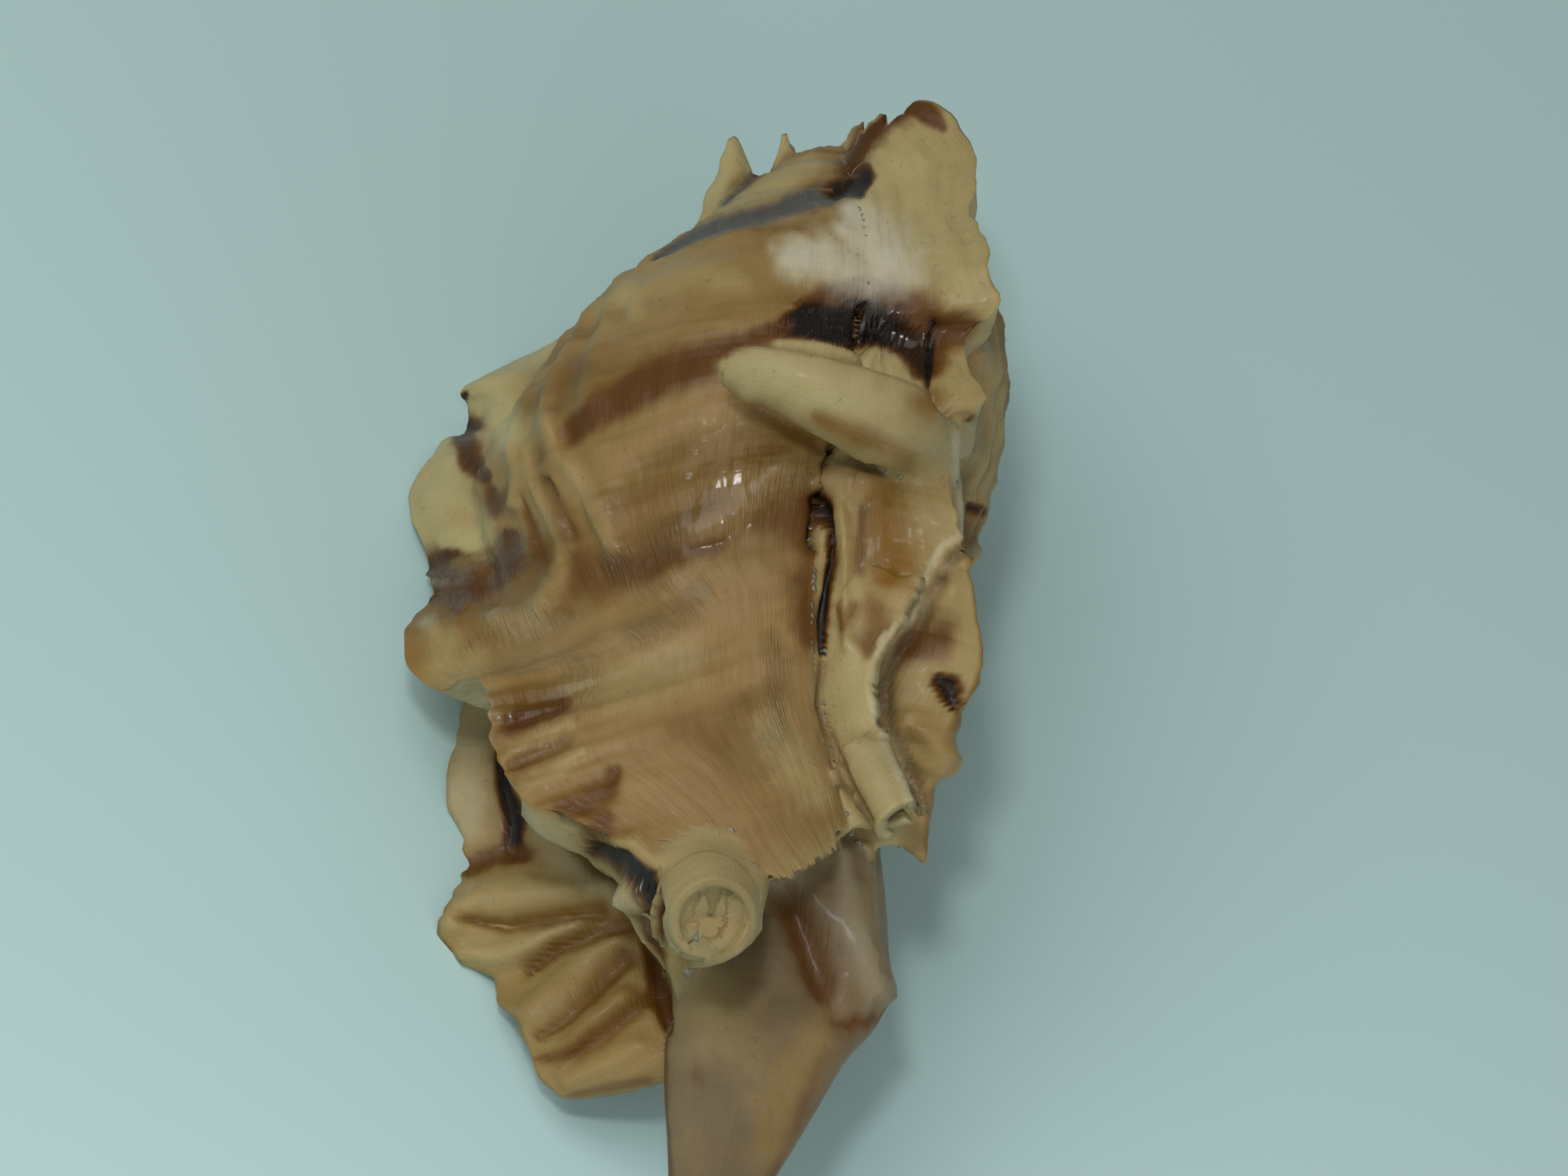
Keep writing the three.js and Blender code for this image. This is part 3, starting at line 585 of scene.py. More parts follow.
# Marks on the front: how far each is pushed out, its paint, and a path across and down from the apex with its
# half width, in millimetres as seen from the front.
frontMarks = {
    # The spire and the back lobe of the front wing.
    "suture": {"edge": 2.4, "push": -0.35, "paint": {"slate": 1, "brown": 0}, "path": [
        (-13.6, 12.8, 0.25), (-12.0, 11.5, 0.57), (-9.9, 10.1, 0.76), (-7.2, 8.9, 0.82), (-4.2, 7.7, 0.82),
        (-1.5, 6.3, 1.08), (0.1, 5.7, 0.89)]},
    "sutureEnd": {"edge": 2.4, "push": -0.4, "paint": {"brown": 1}, "path": [
        (0.5, 5.2, 1.08), (1.7, 4.9, 1.08), (2.3, 4.1, 1.08)]},
    "wingBand": {"push": 0.1, "paint": {"brown": 0.72}, "path": [
        (1.2, 3.4, 1.01), (2.2, 1.0, 1.27), (3.7, -1.1, 1.39), (5.6, -2.3, 1.39), (7.2, -1.5, 0.76)]},
    "wingTip": {"edge": 1.6, "paint": {"brown": 0.66}, "path": [
        (5.1, -2.8, 0.76), (6.4, -2.7, 0.76), (7.3, -1.5, 0.76), (8.3, -0.7, 0.51)]},
    "spireFrill": {"paint": {"brown": 0.9}, "path": [
        (-6.1, 4.7, 0.51), (-5.7, 2.9, 0.57), (-5.5, 1.3, 0.51)]},
    "spireEdge": {"push": -0.1, "paint": {"slate": 1, "brown": 0.5}, "path": [
        (-8.6, 7.6, 0.32), (-7.5, 6.2, 0.38), (-6.3, 4.7, 0.44), (-5.4, 4.1, 0.38)]},
    "whorlAbove": {"push": 0.1, "paint": {"cream": 0.6, "brown": 0}, "path": [
        (-10.4, 8.6, 0.63), (-6.8, 6.9, 1.01), (-3.8, 5.2, 1.27), (-2.1, 3.8, 1.27)]},
    "porcelain": {"push": 0.1, "paint": {"white": 0.62, "brown": 0, "cream": 1}, "path": [
        (1.8, 7.1, 1.01), (2.6, 8.6, 1.9), (4.4, 10.3, 2.53), (5.9, 11.4, 2.15), (4.1, 12.9, 1.65),
        (0.1, 11.5, 1.9), (-2.4, 11.5, 1.52)]},
    "wingFace": {"paint": {"cream": 1, "brown": 0, "white": 0}, "path": [
        (7.4, 3.6, 2.53), (9.6, 7.8, 2.66), (11.6, 11.3, 2.53), (10.3, 14.0, 1.27)]},
    # The dark patch under the wing's white face, and the recess beside it.
    "fringe": {"edge": 1.4, "paint": {"brown": 0.55, "amber": 0.6, "cream": 0.1}, "path": [
        (-2.4, 18.1, 0.89), (-0.1, 14.6, 0.76), (2.9, 13.5, 0.89), (5.5, 13.7, 1.27), (8.6, 15.2, 1.65),
        (10.0, 16.6, 1.39), (9.7, 19.2, 0.89)]},
    "patchRight": {"edge": 2, "push": -0.3, "paint": {"brown": 0.86, "cream": 0, "gloss": 0.8}, "path": [
        (4.4, 14.8, 0.95), (6.1, 16.2, 1.52), (7.9, 17.5, 1.52), (8.9, 19.3, 0.89)]},
    "patch": {"edge": 3.5, "push": -0.35, "paint": {"brown": 1, "cream": 0, "gloss": 1}, "path": [
        (-2.1, 17.2, 0.95), (-0.5, 16.5, 1.52), (1.7, 16.6, 1.96), (3.6, 16.5, 1.9), (5.5, 16.7, 1.27)]},
    "recess": {"push": -0.6, "paint": {"brown": 0.6, "cream": 0.2}, "path": [
        (9.6, 16.1, 0.89), (11.8, 15.8, 1.39), (13.5, 15.6, 0.63)]},
    "crack": {"push": -0.4, "paint": {"brown": 1}, "path": [
        (9.1, 15.3, 0.25), (9.3, 17.4, 0.25), (9.4, 19.3, 0.25), (9.3, 20.9, 0.25)]},
    # The long spine with a painted highlight on its top and painted shade under it, its painted shadow on the
    # body, the knob under it and the wing behind it.
    "wingFlow": {"push": -0.2, "paint": {"brown": 0.3, "amber": 0.4, "cream": 0.6}, "path": [
        (9.1, 22.5, 1.27), (10.1, 24.9, 1.27), (9.0, 27.0, 1.27)]},
    "spineShade": {"paint": {"amber": 0.8, "brown": 0.16, "cream": 0.2}, "path": [
        (1.1, 24.4, 0.51), (4.4, 25.4, 1.01), (7.6, 25.6, 1.27), (9.6, 23.7, 0.89), (10.0, 21.4, 0.76)]},
    "spinePale": {"paint": {"cream": 0.9, "brown": 0}, "path": [
        (-6.8, 20.3, 1.39), (-3.2, 21.1, 1.77), (1.4, 22.2, 2.03), (5.3, 22.9, 2.03)]},
    # Painted highlight: the spine's top edge is painted paler where the light falls on it.
    "spineTopHighlight": {"edge": 1.8, "push": 0.5, "paint": {"cream": 0.9, "brown": 0.02}, "path": [
        (-2.8, 18.8, 0.51), (0.1, 18.8, 0.63), (2.6, 19.1, 0.7), (4.3, 19.4, 0.7)]},
    # Painted shadow: the long spine's shadow on the body below it, in brown and amber.
    "spineCastShadow": {"paint": {"brown": 0.32, "amber": 0.3}, "path": [
        (-6.1, 23.4, 0.51), (-2.7, 24.6, 0.82), (0.3, 26.1, 0.82), (1.7, 27.2, 0.51)]},
    "knob": {"push": 1.1, "paint": {"blush": 1, "brown": 0, "cream": 0.2}, "path": [
        (2.3, 29.4, 1.01), (3.9, 29.0, 1.52), (5.8, 29.0, 1.27)]},
    "wingBelow": {"push": 0.1, "paint": {"cream": 0.75, "brown": 0, "amber": 0.2}, "path": [
        (7.5, 24.6, 1.52), (10.1, 24.9, 1.9), (11.5, 28.6, 1.65), (12.2, 31.7, 1.27)]},
    # The panels between the wing and the body, with the dark groove and the pale ridge.
    "amberPanel": {"push": -0.2, "paint": {"amber": 1, "cream": 0, "brown": 0.1}, "path": [
        (6.9, 30.4, 1.65), (7.7, 32.9, 2.03), (8.2, 35.7, 2.03)]},
    "amberPanelEdge": {"paint": {"brown": 0.45, "amber": 0.5}, "path": [
        (5.5, 31.2, 0.51), (5.6, 33.8, 0.51), (5.8, 36.0, 0.51)]},
    "panelWing": {"paint": {"amber": 0.3, "cream": 0.55, "brown": 0}, "path": [
        (10.8, 28.0, 1.01), (11.4, 30.5, 1.14), (11.3, 32.4, 0.76)]},
    "olivePanel": {"push": -0.1, "paint": {"brown": 0.3, "amber": 0.35, "cream": 0.05}, "path": [
        (7.3, 38.7, 1.14), (7.8, 40.2, 1.39), (7.0, 41.9, 0.89)]},
    "palePanel": {"push": 0.1, "paint": {"cream": 0.5, "brown": 0}, "path": [
        (6.1, 37.3, 0.44), (9.0, 37.2, 0.44)]},
    "grooveStain": {"paint": {"brown": 0.55}, "path": [
        (2.2, 31.0, 1.01), (0.8, 33.1, 1.01), (0.4, 35.7, 2.15), (1.5, 38.7, 1.77), (2.6, 41.5, 1.27)]},
    "groove": {"edge": 2.4, "push": -1.1, "paint": {"brown": 1, "cream": 0}, "path": [
        (2.1, 30.9, 0.44), (3.0, 32.8, 0.44), (3.6, 35.3, 0.44), (3.5, 37.8, 0.38), (3.5, 40.4, 0.38),
        (3.7, 42.6, 0.25)]},
    "grooveHead": {"edge": 2.4, "push": -0.3, "paint": {"brown": 0.95}, "path": [
        (1.8, 30.7, 0.76), (2.6, 31.6, 0.89)]},
    "ridge": {"push": 0.75, "paint": {"cream": 0.5, "brown": 0.05}, "path": [
        (3.8, 31.4, 0.57), (4.4, 33.9, 0.76), (4.8, 37.0, 0.7), (5.4, 40.2, 0.63), (5.8, 42.0, 0.57)]},
    "ridgeShade": {"paint": {"brown": 0.35, "amber": 0.5}, "path": [
        (4.6, 39.0, 0.44), (5.3, 40.8, 0.44), (5.9, 38.8, 0.44)]},
    # The flange below the panels, its red line, and the wing's rim with a painted highlight along it and
    # painted shade beside it.
    "frontFlange": {"edge": 2.4, "push": 0.25, "paint": {"cream": 0.85, "blush": 0.2, "brown": 0, "amber": 0},
        "path": [(5.8, 42.7, 1.14), (6.1, 45.2, 2.03), (7.2, 48.2, 2.03), (8.8, 51.2, 1.9),
        (10.1, 54.3, 1.65), (10.7, 56.1, 1.27)]},
    "redLine": {"push": -0.55, "paint": {"brown": 0.42, "blush": 0.5}, "path": [
        (3.8, 43.5, 0.32), (4.0, 46.7, 0.32), (4.9, 48.5, 0.32), (6.0, 50.9, 0.32), (7.2, 53.0, 0.32),
        (8.4, 54.5, 0.32), (9.0, 55.3, 0.25)]},
    "redLineShade": {"push": -0.15, "paint": {"blush": 0.8}, "path": [
        (3.8, 46.7, 0.89), (4.7, 49.8, 0.89), (6.4, 52.8, 0.89), (8.0, 55.2, 0.89)]},
    # The rim is pale, and is painted paler and whiter along its raised edge as a painted highlight.
    "wingRim": {"edge": 2, "push": 0.25, "paint": {"cream": 0.9, "white": 0.25, "brown": 0}, "path": [
        (12.0, 24.1, 0.32), (12.3, 26.6, 0.32), (13.1, 29.7, 0.32), (13.5, 32.2, 0.32), (12.0, 33.3, 0.32),
        (10.9, 36.3, 0.32), (10.2, 39.1, 0.32), (8.2, 41.0, 0.32), (7.9, 43.1, 0.32), (8.0, 45.6, 0.32),
        (9.0, 49.0, 0.32), (10.8, 51.6, 0.32), (12.1, 54.0, 0.32)]},
    "wingRimShade": {"edge": 1.6, "push": -0.55, "paint": {"brown": 0.28, "slate": 0.35, "cream": 0.2},
        "path": [(13.4, 26.4, 0.51), (14.3, 30.2, 0.57), (14.2, 32.7, 0.57), (12.8, 34.5, 0.57),
        (11.9, 37.1, 0.57), (11.2, 39.8, 0.57), (9.6, 41.9, 0.57), (9.0, 44.2, 0.51), (9.2, 46.1, 0.51),
        (10.1, 48.5, 0.51), (11.8, 51.2, 0.51), (13.3, 53.9, 0.51)]},
    # Glossy places on the body.
    "bodyGlint": {"edge": 1.2, "paint": {"gloss": 1}, "path": [
        (-13.9, 37.4, 1.14), (-10.6, 38.3, 1.65), (-8.5, 34.8, 1.9), (-5.7, 31.9, 2.15), (-2.8, 29.7, 1.77),
        (0.3, 28.7, 1.14)]},
    "bodyGlintB": {"edge": 1.2, "paint": {"gloss": 1}, "path": [
        (-24.4, 45.7, 0.89), (-20.2, 43.3, 1.14), (-16.5, 42.2, 0.63)]},
    "bodyGlintC": {"edge": 1.2, "paint": {"gloss": 0.9}, "path": [
        (-10.7, 43.1, 1.01), (-7.7, 41.1, 1.27), (-6.4, 39.0, 0.76)]},
    "bodyGlintD": {"edge": 1.2, "paint": {"gloss": 0.8}, "path": [
        (-21.9, 50.2, 0.63), (-18.1, 50.4, 1.27), (-14.7, 47.1, 1.27)]},
    "bodyGlintE": {"edge": 1.2, "paint": {"gloss": 0.7}, "path": [
        (-0.6, 42.2, 0.76), (0.5, 45.9, 0.89), (0.3, 49.7, 0.89)]},
    # Bands, belts and folds across the body.
    "upperBand": {"push": -0.15, "paint": {"brown": 0.6, "amber": 0.4}, "path": [
        (-2.4, 17.2, 0.76), (-5.4, 18.8, 0.89), (-9.0, 20.5, 1.14), (-12.0, 21.9, 1.39),
        (-14.9, 24.1, 1.39), (-17.8, 26.7, 1.14), (-19.1, 29.1, 0.76)]},
    "shoulderPale": {"push": 0.35, "paint": {"cream": 0.3, "brown": 0}, "path": [
        (-5.9, 14.1, 0.89), (-11.0, 14.1, 1.65), (-14.7, 15.8, 2.03), (-17.0, 17.4, 1.52)]},
    # The shoulder's node is pale, and is painted paler still as a painted highlight on it.
    "paleNodeAndHighlight": {"push": 0.3, "paint": {"cream": 0.55, "brown": 0}, "path": [
        (-15.1, 16.2, 1.01), (-14.5, 17.1, 0.89)]},
    "bandUnderShoulder": {"push": -0.1, "paint": {"brown": 0.3}, "path": [
        (-18.7, 22.0, 1.14), (-19.3, 24.7, 1.01), (-20.0, 26.7, 0.76)]},
    "paleBelt": {"push": 0.3, "paint": {"blush": 0.5, "brown": 0}, "path": [
        (-4.8, 23.5, 0.89), (-8.4, 24.9, 1.27), (-11.4, 26.9, 1.39), (-14.2, 29.8, 1.14)]},
    "oliveBelt": {"push": -0.1, "paint": {"brown": 0.22, "amber": 0.25}, "path": [
        (-1.8, 27.0, 0.76), (-6.1, 28.8, 1.27), (-10.2, 31.9, 2.15), (-13.6, 34.8, 2.15),
        (-14.6, 37.5, 1.65)]},
    "blushBelt": {"push": 0.2, "paint": {"blush": 0.7, "brown": 0}, "path": [
        (-1.0, 28.2, 0.63), (-3.8, 31.7, 1.14), (-7.2, 35.3, 1.39), (-8.8, 38.1, 1.14)]},
    "darkBelt": {"push": -0.2, "paint": {"brown": 0.45, "amber": 0.5}, "path": [
        (-5.3, 35.1, 0.63), (-9.5, 36.9, 1.14), (-14.4, 38.7, 2.03), (-16.9, 39.1, 2.15),
        (-18.7, 38.0, 1.52)]},
    "paleFold": {"push": 0.7, "paint": {"cream": 0.25, "blush": 0.3, "brown": 0}, "path": [
        (-20.4, 27.0, 0.63), (-19.0, 29.7, 0.89), (-16.8, 32.0, 0.89), (-15.3, 34.1, 0.89),
        (-14.1, 36.2, 0.76)]},
    "paleFoldB": {"push": 0.6, "paint": {"cream": 0.3, "brown": 0}, "path": [
        (-21.8, 29.4, 0.57), (-21.0, 31.9, 0.76), (-19.1, 34.5, 0.82), (-17.9, 36.6, 0.76),
        (-17.8, 39.5, 0.76), (-19.1, 41.9, 0.89)]},
    "foldValley": {"push": -0.6, "paint": {"brown": 0.42}, "path": [
        (-20.0, 31.8, 0.51), (-18.7, 33.5, 0.63), (-17.3, 35.9, 0.76)]},
    "foldValleyB": {"push": -0.55, "paint": {"brown": 0.5}, "path": [
        (-22.0, 33.3, 0.44), (-20.5, 35.7, 0.63), (-19.6, 38.1, 0.63)]},
    "paleRib": {"push": 0.4, "paint": {"cream": 0.3, "brown": 0}, "path": [
        (-23.1, 29.6, 0.44), (-22.2, 31.4, 0.57), (-22.3, 34.0, 0.51)]},
    "lowerBelt": {"push": 0.2, "paint": {"blush": 0.7, "brown": 0}, "path": [
        (-1.1, 38.4, 1.9), (-5.2, 40.8, 2.15), (-9.3, 43.9, 2.15), (-13.6, 45.0, 1.77),
        (-17.3, 46.1, 1.52)]},
    "tanPatch": {"paint": {"brown": 0.22, "blush": 0.4}, "path": [(-3.4, 34.9, 1.27), (-0.1, 35.7, 1.39)]},
    "paleMid": {"push": 0.15, "paint": {"cream": 0.35, "blush": 0.2, "brown": 0}, "path": [
        (-7.3, 44.9, 1.77), (-10.9, 46.6, 1.9), (-14.6, 47.7, 1.27)]},
    "blotch": {"paint": {"brown": 0.24, "blush": 0.5}, "path": [
        (-1.8, 47.7, 1.52), (-3.5, 50.2, 1.9), (-6.7, 49.9, 1.27)]},
    "paleLow": {"push": 0.1, "paint": {"cream": 0.45, "brown": 0}, "path": [
        (0.2, 49.1, 1.27), (2.4, 51.4, 1.77), (4.6, 53.7, 1.39)]},
    "blushLow": {"paint": {"blush": 0.9, "brown": 0}, "path": [
        (-4.7, 55.4, 2.28), (-0.6, 57.5, 2.28), (2.1, 59.1, 1.65), (-2.9, 60.3, 1.77)]},
    # The funnel's tube and the rays above it.
    "tubeCream": {"paint": {"cream": 0.6, "brown": 0, "blush": 0.2}, "path": [
        (-6.4, 62.6, 0.76), (-5.0, 63.8, 1.01), (-2.0, 61.8, 1.27), (1.1, 63.7, 1.27), (2.4, 61.6, 0.89)]},
    "rayA": {"push": -0.35, "paint": {"brown": 0.6}, "path": [
        (-20.0, 51.2, 0.89), (-18.1, 50.0, 0.82), (-16.0, 49.1, 0.57)]},
    "rayB": {"push": 0.35, "paint": {"cream": 0.35, "brown": 0}, "path": [
        (-19.4, 53.1, 0.63), (-17.3, 51.9, 0.7), (-15.2, 50.6, 0.63)]},
    "rayC": {"push": -0.35, "paint": {"brown": 0.4}, "path": [
        (-19.4, 54.3, 0.7), (-17.7, 53.3, 0.76), (-15.4, 51.9, 0.63)]},
    "rayD": {"push": 0.3, "paint": {"cream": 0.4, "brown": 0}, "path": [
        (-18.1, 55.8, 0.7), (-16.3, 54.6, 0.76), (-14.0, 52.7, 0.57)]},
    "rayE": {"push": -0.45, "paint": {"brown": 0.55, "amber": 0.4}, "path": [
        (-15.0, 57.3, 0.76), (-13.5, 56.5, 1.39), (-11.8, 55.3, 1.14), (-11.3, 53.7, 0.63)]},
    "rayF": {"push": -0.3, "paint": {"brown": 0.55, "amber": 0.6}, "path": [
        (-12.6, 58.9, 0.89), (-11.7, 58.2, 0.89), (-11.5, 57.2, 0.76)]},
    "rayG": {"push": 0.35, "paint": {"cream": 0.5, "brown": 0}, "path": [
        (-10.6, 59.7, 0.57), (-9.1, 59.1, 0.76), (-7.3, 60.5, 0.89), (-6.1, 62.6, 0.76)]},
    # The lip's lobes and the gutters between them.
    "lobeTop": {"paint": {"cream": 1, "brown": 0, "amber": 0}, "path": [
        (-26.0, 24.9, 1.14), (-24.8, 26.6, 1.77), (-23.6, 28.4, 1.39)]},
    "gutterTop": {"edge": 2, "push": -0.25, "paint": {"brown": 0.74, "cream": 0}, "path": [
        (-28.4, 27.7, 0.38), (-27.4, 28.9, 1.01), (-26.6, 30.7, 1.14), (-25.1, 31.9, 0.76)]},
    "gutterRim": {"paint": {"brown": 1}, "path": [
        (-27.8, 25.4, 0.32), (-28.4, 26.7, 0.38), (-28.6, 28.4, 0.38)]},
    "lobeMid": {"paint": {"cream": 0.95, "brown": 0}, "path": [
        (-28.4, 31.5, 0.89), (-28.1, 34.0, 1.65), (-27.0, 35.2, 1.65), (-24.6, 36.2, 1.14)]},
    "lobeMidPink": {"paint": {"blush": 0.5, "cream": 0.6}, "path": [
        (-26.9, 35.5, 0.89), (-24.7, 35.5, 0.89)]},
    "spotMid": {"push": -0.3, "paint": {"brown": 0.6}, "path": [(-24.4, 33.1, 0.51), (-24.0, 34.1, 0.82)]},
    "bandLow": {"edge": 2, "push": -0.3, "paint": {"brown": 0.64, "gloss": 1}, "path": [
        (-27.8, 41.7, 0.89), (-26.2, 41.8, 1.27), (-23.8, 40.2, 1.52), (-22.1, 38.4, 1.27),
        (-22.2, 36.5, 0.76)]},
    "bandFill": {"edge": 1.6, "push": -0.1, "paint": {"brown": 0.62, "amber": 0.6, "cream": 0, "gloss": 1},
        "path": [(-27.8, 40.1, 0.76), (-25.7, 40.3, 0.95), (-23.7, 39.8, 0.89)]},
    "lobeMidLow": {"edge": 1.6, "paint": {"cream": 0.95, "brown": 0}, "path": [
        (-27.5, 37.3, 0.76), (-25.8, 37.6, 0.82), (-24.3, 36.9, 0.63)]},
    "bandLowPale": {"push": 0.3, "paint": {"blush": 0.4, "brown": 0.35}, "path": [
        (-26.5, 39.3, 0.63), (-24.6, 39.2, 0.76)]},
    "lobeLow": {"paint": {"cream": 0.7, "amber": 0.35, "brown": 0, "gloss": 0.6}, "path": [
        (-27.8, 44.2, 0.76), (-26.3, 45.6, 1.39), (-26.1, 47.8, 1.65), (-23.6, 46.9, 1.14)]},
    "lobeLowPink": {"push": 0.2, "paint": {"blush": 0.6, "cream": 0.3, "gloss": 0.8}, "path": [
        (-22.8, 43.0, 0.89), (-20.9, 43.4, 1.14), (-19.0, 43.1, 0.89)]},
    # The pleated flange below the lip.
    "flangeStart": {"paint": {"cream": 1, "white": 0.2, "brown": 0}, "path": [
        (-23.2, 50.7, 1.52), (-23.4, 53.9, 1.52), (-23.3, 57.7, 1.52), (-22.6, 60.2, 1.27)]},
    "flangeGutter": {"edge": 2.4, "push": -0.5, "paint": {"brown": 1}, "path": [
        (-21.0, 54.2, 0.57), (-20.2, 56.7, 0.76), (-19.1, 59.1, 0.95), (-19.0, 61.3, 0.95)]},
    "flangeBand": {"push": -0.3, "paint": {"brown": 0.6, "amber": 0.5}, "path": [
        (-22.3, 63.3, 0.89), (-20.5, 62.1, 1.01), (-18.0, 61.5, 0.89)]},
    "flangeFirst": {"push": 1.0, "paint": {"cream": 0.7, "amber": 0.25, "brown": 0}, "path": [
        (-23.0, 67.9, 0.89), (-21.3, 65.7, 1.39), (-17.6, 64.7, 1.65), (-13.9, 64.2, 1.27),
        (-10.6, 64.4, 0.89)]},
    "flangeShadeA": {"push": -1.1, "paint": {"brown": 0.36, "amber": 0.85}, "path": [
        (-22.4, 67.2, 0.32), (-18.6, 67.3, 0.57), (-14.9, 66.2, 0.76), (-11.2, 65.1, 0.76)]},
    "flangeSecond": {"push": 1.0, "paint": {"cream": 0.75, "amber": 0.2, "brown": 0}, "path": [
        (-21.5, 69.9, 1.01), (-18.9, 69.9, 1.27), (-15.9, 68.3, 1.14), (-12.9, 66.6, 0.76)]},
    "flangeShadeB": {"push": -1.1, "paint": {"brown": 0.45, "amber": 0.9}, "path": [
        (-16.3, 70.5, 0.51), (-14.6, 68.7, 0.76), (-11.0, 66.7, 0.89), (-8.0, 65.4, 0.89)]},
    "flangeThird": {"push": 1.0, "paint": {"cream": 0.55, "amber": 0.5, "blush": 0.3, "brown": 0}, "path": [
        (-15.9, 74.0, 1.01), (-14.2, 71.9, 1.52), (-12.0, 69.4, 1.52), (-9.6, 67.5, 1.01)]},
    "flangeShadeC": {"push": -0.8, "paint": {"brown": 0.4, "amber": 0.9}, "path": [
        (-15.0, 75.5, 0.38), (-12.7, 73.6, 0.7), (-11.1, 71.5, 0.82), (-8.9, 68.7, 0.89)]},
    "flangeFourth": {"push": 1.0, "paint": {"amber": 0.6, "cream": 0.35, "brown": 0.05}, "path": [
        (-13.0, 76.8, 0.76), (-10.8, 74.0, 1.14), (-8.5, 71.8, 1.14)]},
    "flangeShadeD": {"push": -0.5, "paint": {"brown": 0.42, "amber": 0.8}, "path": [
        (-14.8, 77.4, 0.44), (-11.7, 76.4, 0.76), (-8.9, 73.8, 0.76), (-6.9, 71.6, 0.63)]},
    "flangeFifth": {"push": 1.0, "paint": {"blush": 0.4, "cream": 0.45, "brown": 0}, "path": [
        (-12.1, 78.7, 0.89), (-9.1, 77.0, 1.27), (-6.8, 75.4, 1.14)]},
    "flangeRoot": {"edge": 2.4, "push": -0.8, "paint": {"brown": 0.7, "amber": 0.7}, "path": [
        (-7.4, 64.0, 0.89), (-6.8, 67.2, 1.01), (-6.2, 70.3, 0.89), (-5.0, 73.3, 0.57)]},
    "flangeFoot": {"paint": {"slate": 0.35, "brown": 0.3}, "path": [
        (-11.6, 79.7, 0.38), (-8.9, 78.8, 0.44), (-5.8, 77.8, 0.44)]},
    # The thin plate beside the tube, and the hollow under the funnel painted near black as its shadow.
    "lamella": {"push": 1.2, "paint": {"cream": 0.75, "brown": 0, "white": 0.15}, "path": [
        (-17.8, 58.0, 0.76), (-16.0, 59.4, 1.39), (-14.2, 61.7, 1.39), (-12.1, 63.3, 1.14),
        (-9.8, 63.7, 0.89)]},
    "lamellaShade": {"paint": {"amber": 0.35, "cream": 0.3, "brown": 0.1}, "path": [
        (-16.0, 60.0, 0.51), (-14.4, 62.3, 0.76), (-12.6, 64.0, 0.76)]},
    # Painted shadow: the hollow under the funnel is painted dark brown to near black.
    "funnelCaveShadow": {"edge": 2.4, "push": -1.2, "paint": {"brown": 1}, "path": [
        (-12.4, 60.5, 0.63), (-10.5, 60.6, 1.01), (-8.4, 61.6, 1.27), (-7.3, 63.4, 1.01)]},
    # The canal, with painted shade on its lower part and its right side.
    "canalPale": {"paint": {"cream": 0.7, "slate": 0.25, "brown": 0.04}, "path": [
        (-3.0, 69.3, 2.15), (-0.7, 72.8, 3.16), (0.5, 77.1, 3.16), (0.4, 81.6, 2.91), (0.8, 85.4, 2.53)]},
    # Painted shade: the lower canal is greyed with slate for the shadow it lies in below the funnel.
    "canalLowShade": {"paint": {"slate": 0.6, "brown": 0.14, "cream": 0.3}, "path": [
        (-0.4, 77.9, 2.85), (0.7, 81.6, 3.48), (1.2, 85.6, 3.16)]},
    "canalSpot": {"paint": {"brown": 0.3}, "path": [(-2.3, 76.2, 0.51), (-1.8, 77.1, 0.51)]},
    "canalEdge": {"paint": {"brown": 0.5}, "path": [
        (-4.9, 73.9, 0.25), (-4.2, 79.6, 0.25), (-3.4, 83.3, 0.25), (-2.8, 85.8, 0.25)]},
    "canalBand": {"push": -1.1, "paint": {"brown": 0.35, "amber": 0.6}, "path": [
        (3.0, 61.5, 0.76), (4.5, 63.2, 1.14), (5.8, 65.6, 1.39), (7.0, 68.0, 1.27)]},
    "canalRidge": {"push": 0.9, "paint": {"cream": 0.6, "white": 0.1, "brown": 0}, "path": [
        (7.1, 58.4, 0.76), (7.9, 62.2, 0.82), (9.3, 65.8, 0.76), (10.9, 68.8, 0.63)]},
    "canalRidgeB": {"push": 0.7, "paint": {"cream": 0.6, "brown": 0}, "path": [
        (8.9, 57.6, 0.51), (9.6, 62.0, 0.57), (10.6, 65.7, 0.57), (12.2, 68.7, 0.51)]},
    "canalHollow": {"edge": 1.6, "push": -0.9, "paint": {"brown": 0.5, "amber": 0.3, "cream": 0}, "path": [
        (3.2, 62.8, 1.14), (4.7, 65.1, 1.27), (6.4, 68.1, 1.14), (8.3, 71.1, 0.57)]},
    "canalFold": {"edge": 1.6, "push": 0.6, "paint": {"cream": 0.6, "brown": 0}, "path": [
        (8.4, 60.8, 0.38), (9.1, 64.0, 0.38), (10.4, 67.0, 0.38), (12.3, 69.6, 0.38)]},
    "canalLine": {"edge": 1.6, "push": -0.4, "paint": {"brown": 0.55}, "path": [
        (7.7, 71.0, 0.25), (9.9, 70.9, 0.25), (11.8, 70.5, 0.25)]},
    # Painted shade: the canal's right side is darkened with brown, away from the light.
    "canalRight": {"paint": {"brown": 0.4}, "path": [
        (7.1, 73.8, 0.76), (6.3, 77.7, 0.76), (5.4, 81.0, 0.63), (4.5, 84.3, 0.51)]},
    "canalRightTan": {"paint": {"brown": 0.1, "cream": 0.3, "slate": 0.2}, "path": [
        (7.4, 71.2, 1.27), (4.9, 76.6, 1.65), (4.1, 81.1, 1.27)]},
    # The end of an older canal.
    "oldEnd": {"paint": {"cream": 0.55, "amber": 0.3, "brown": 0}, "path": [
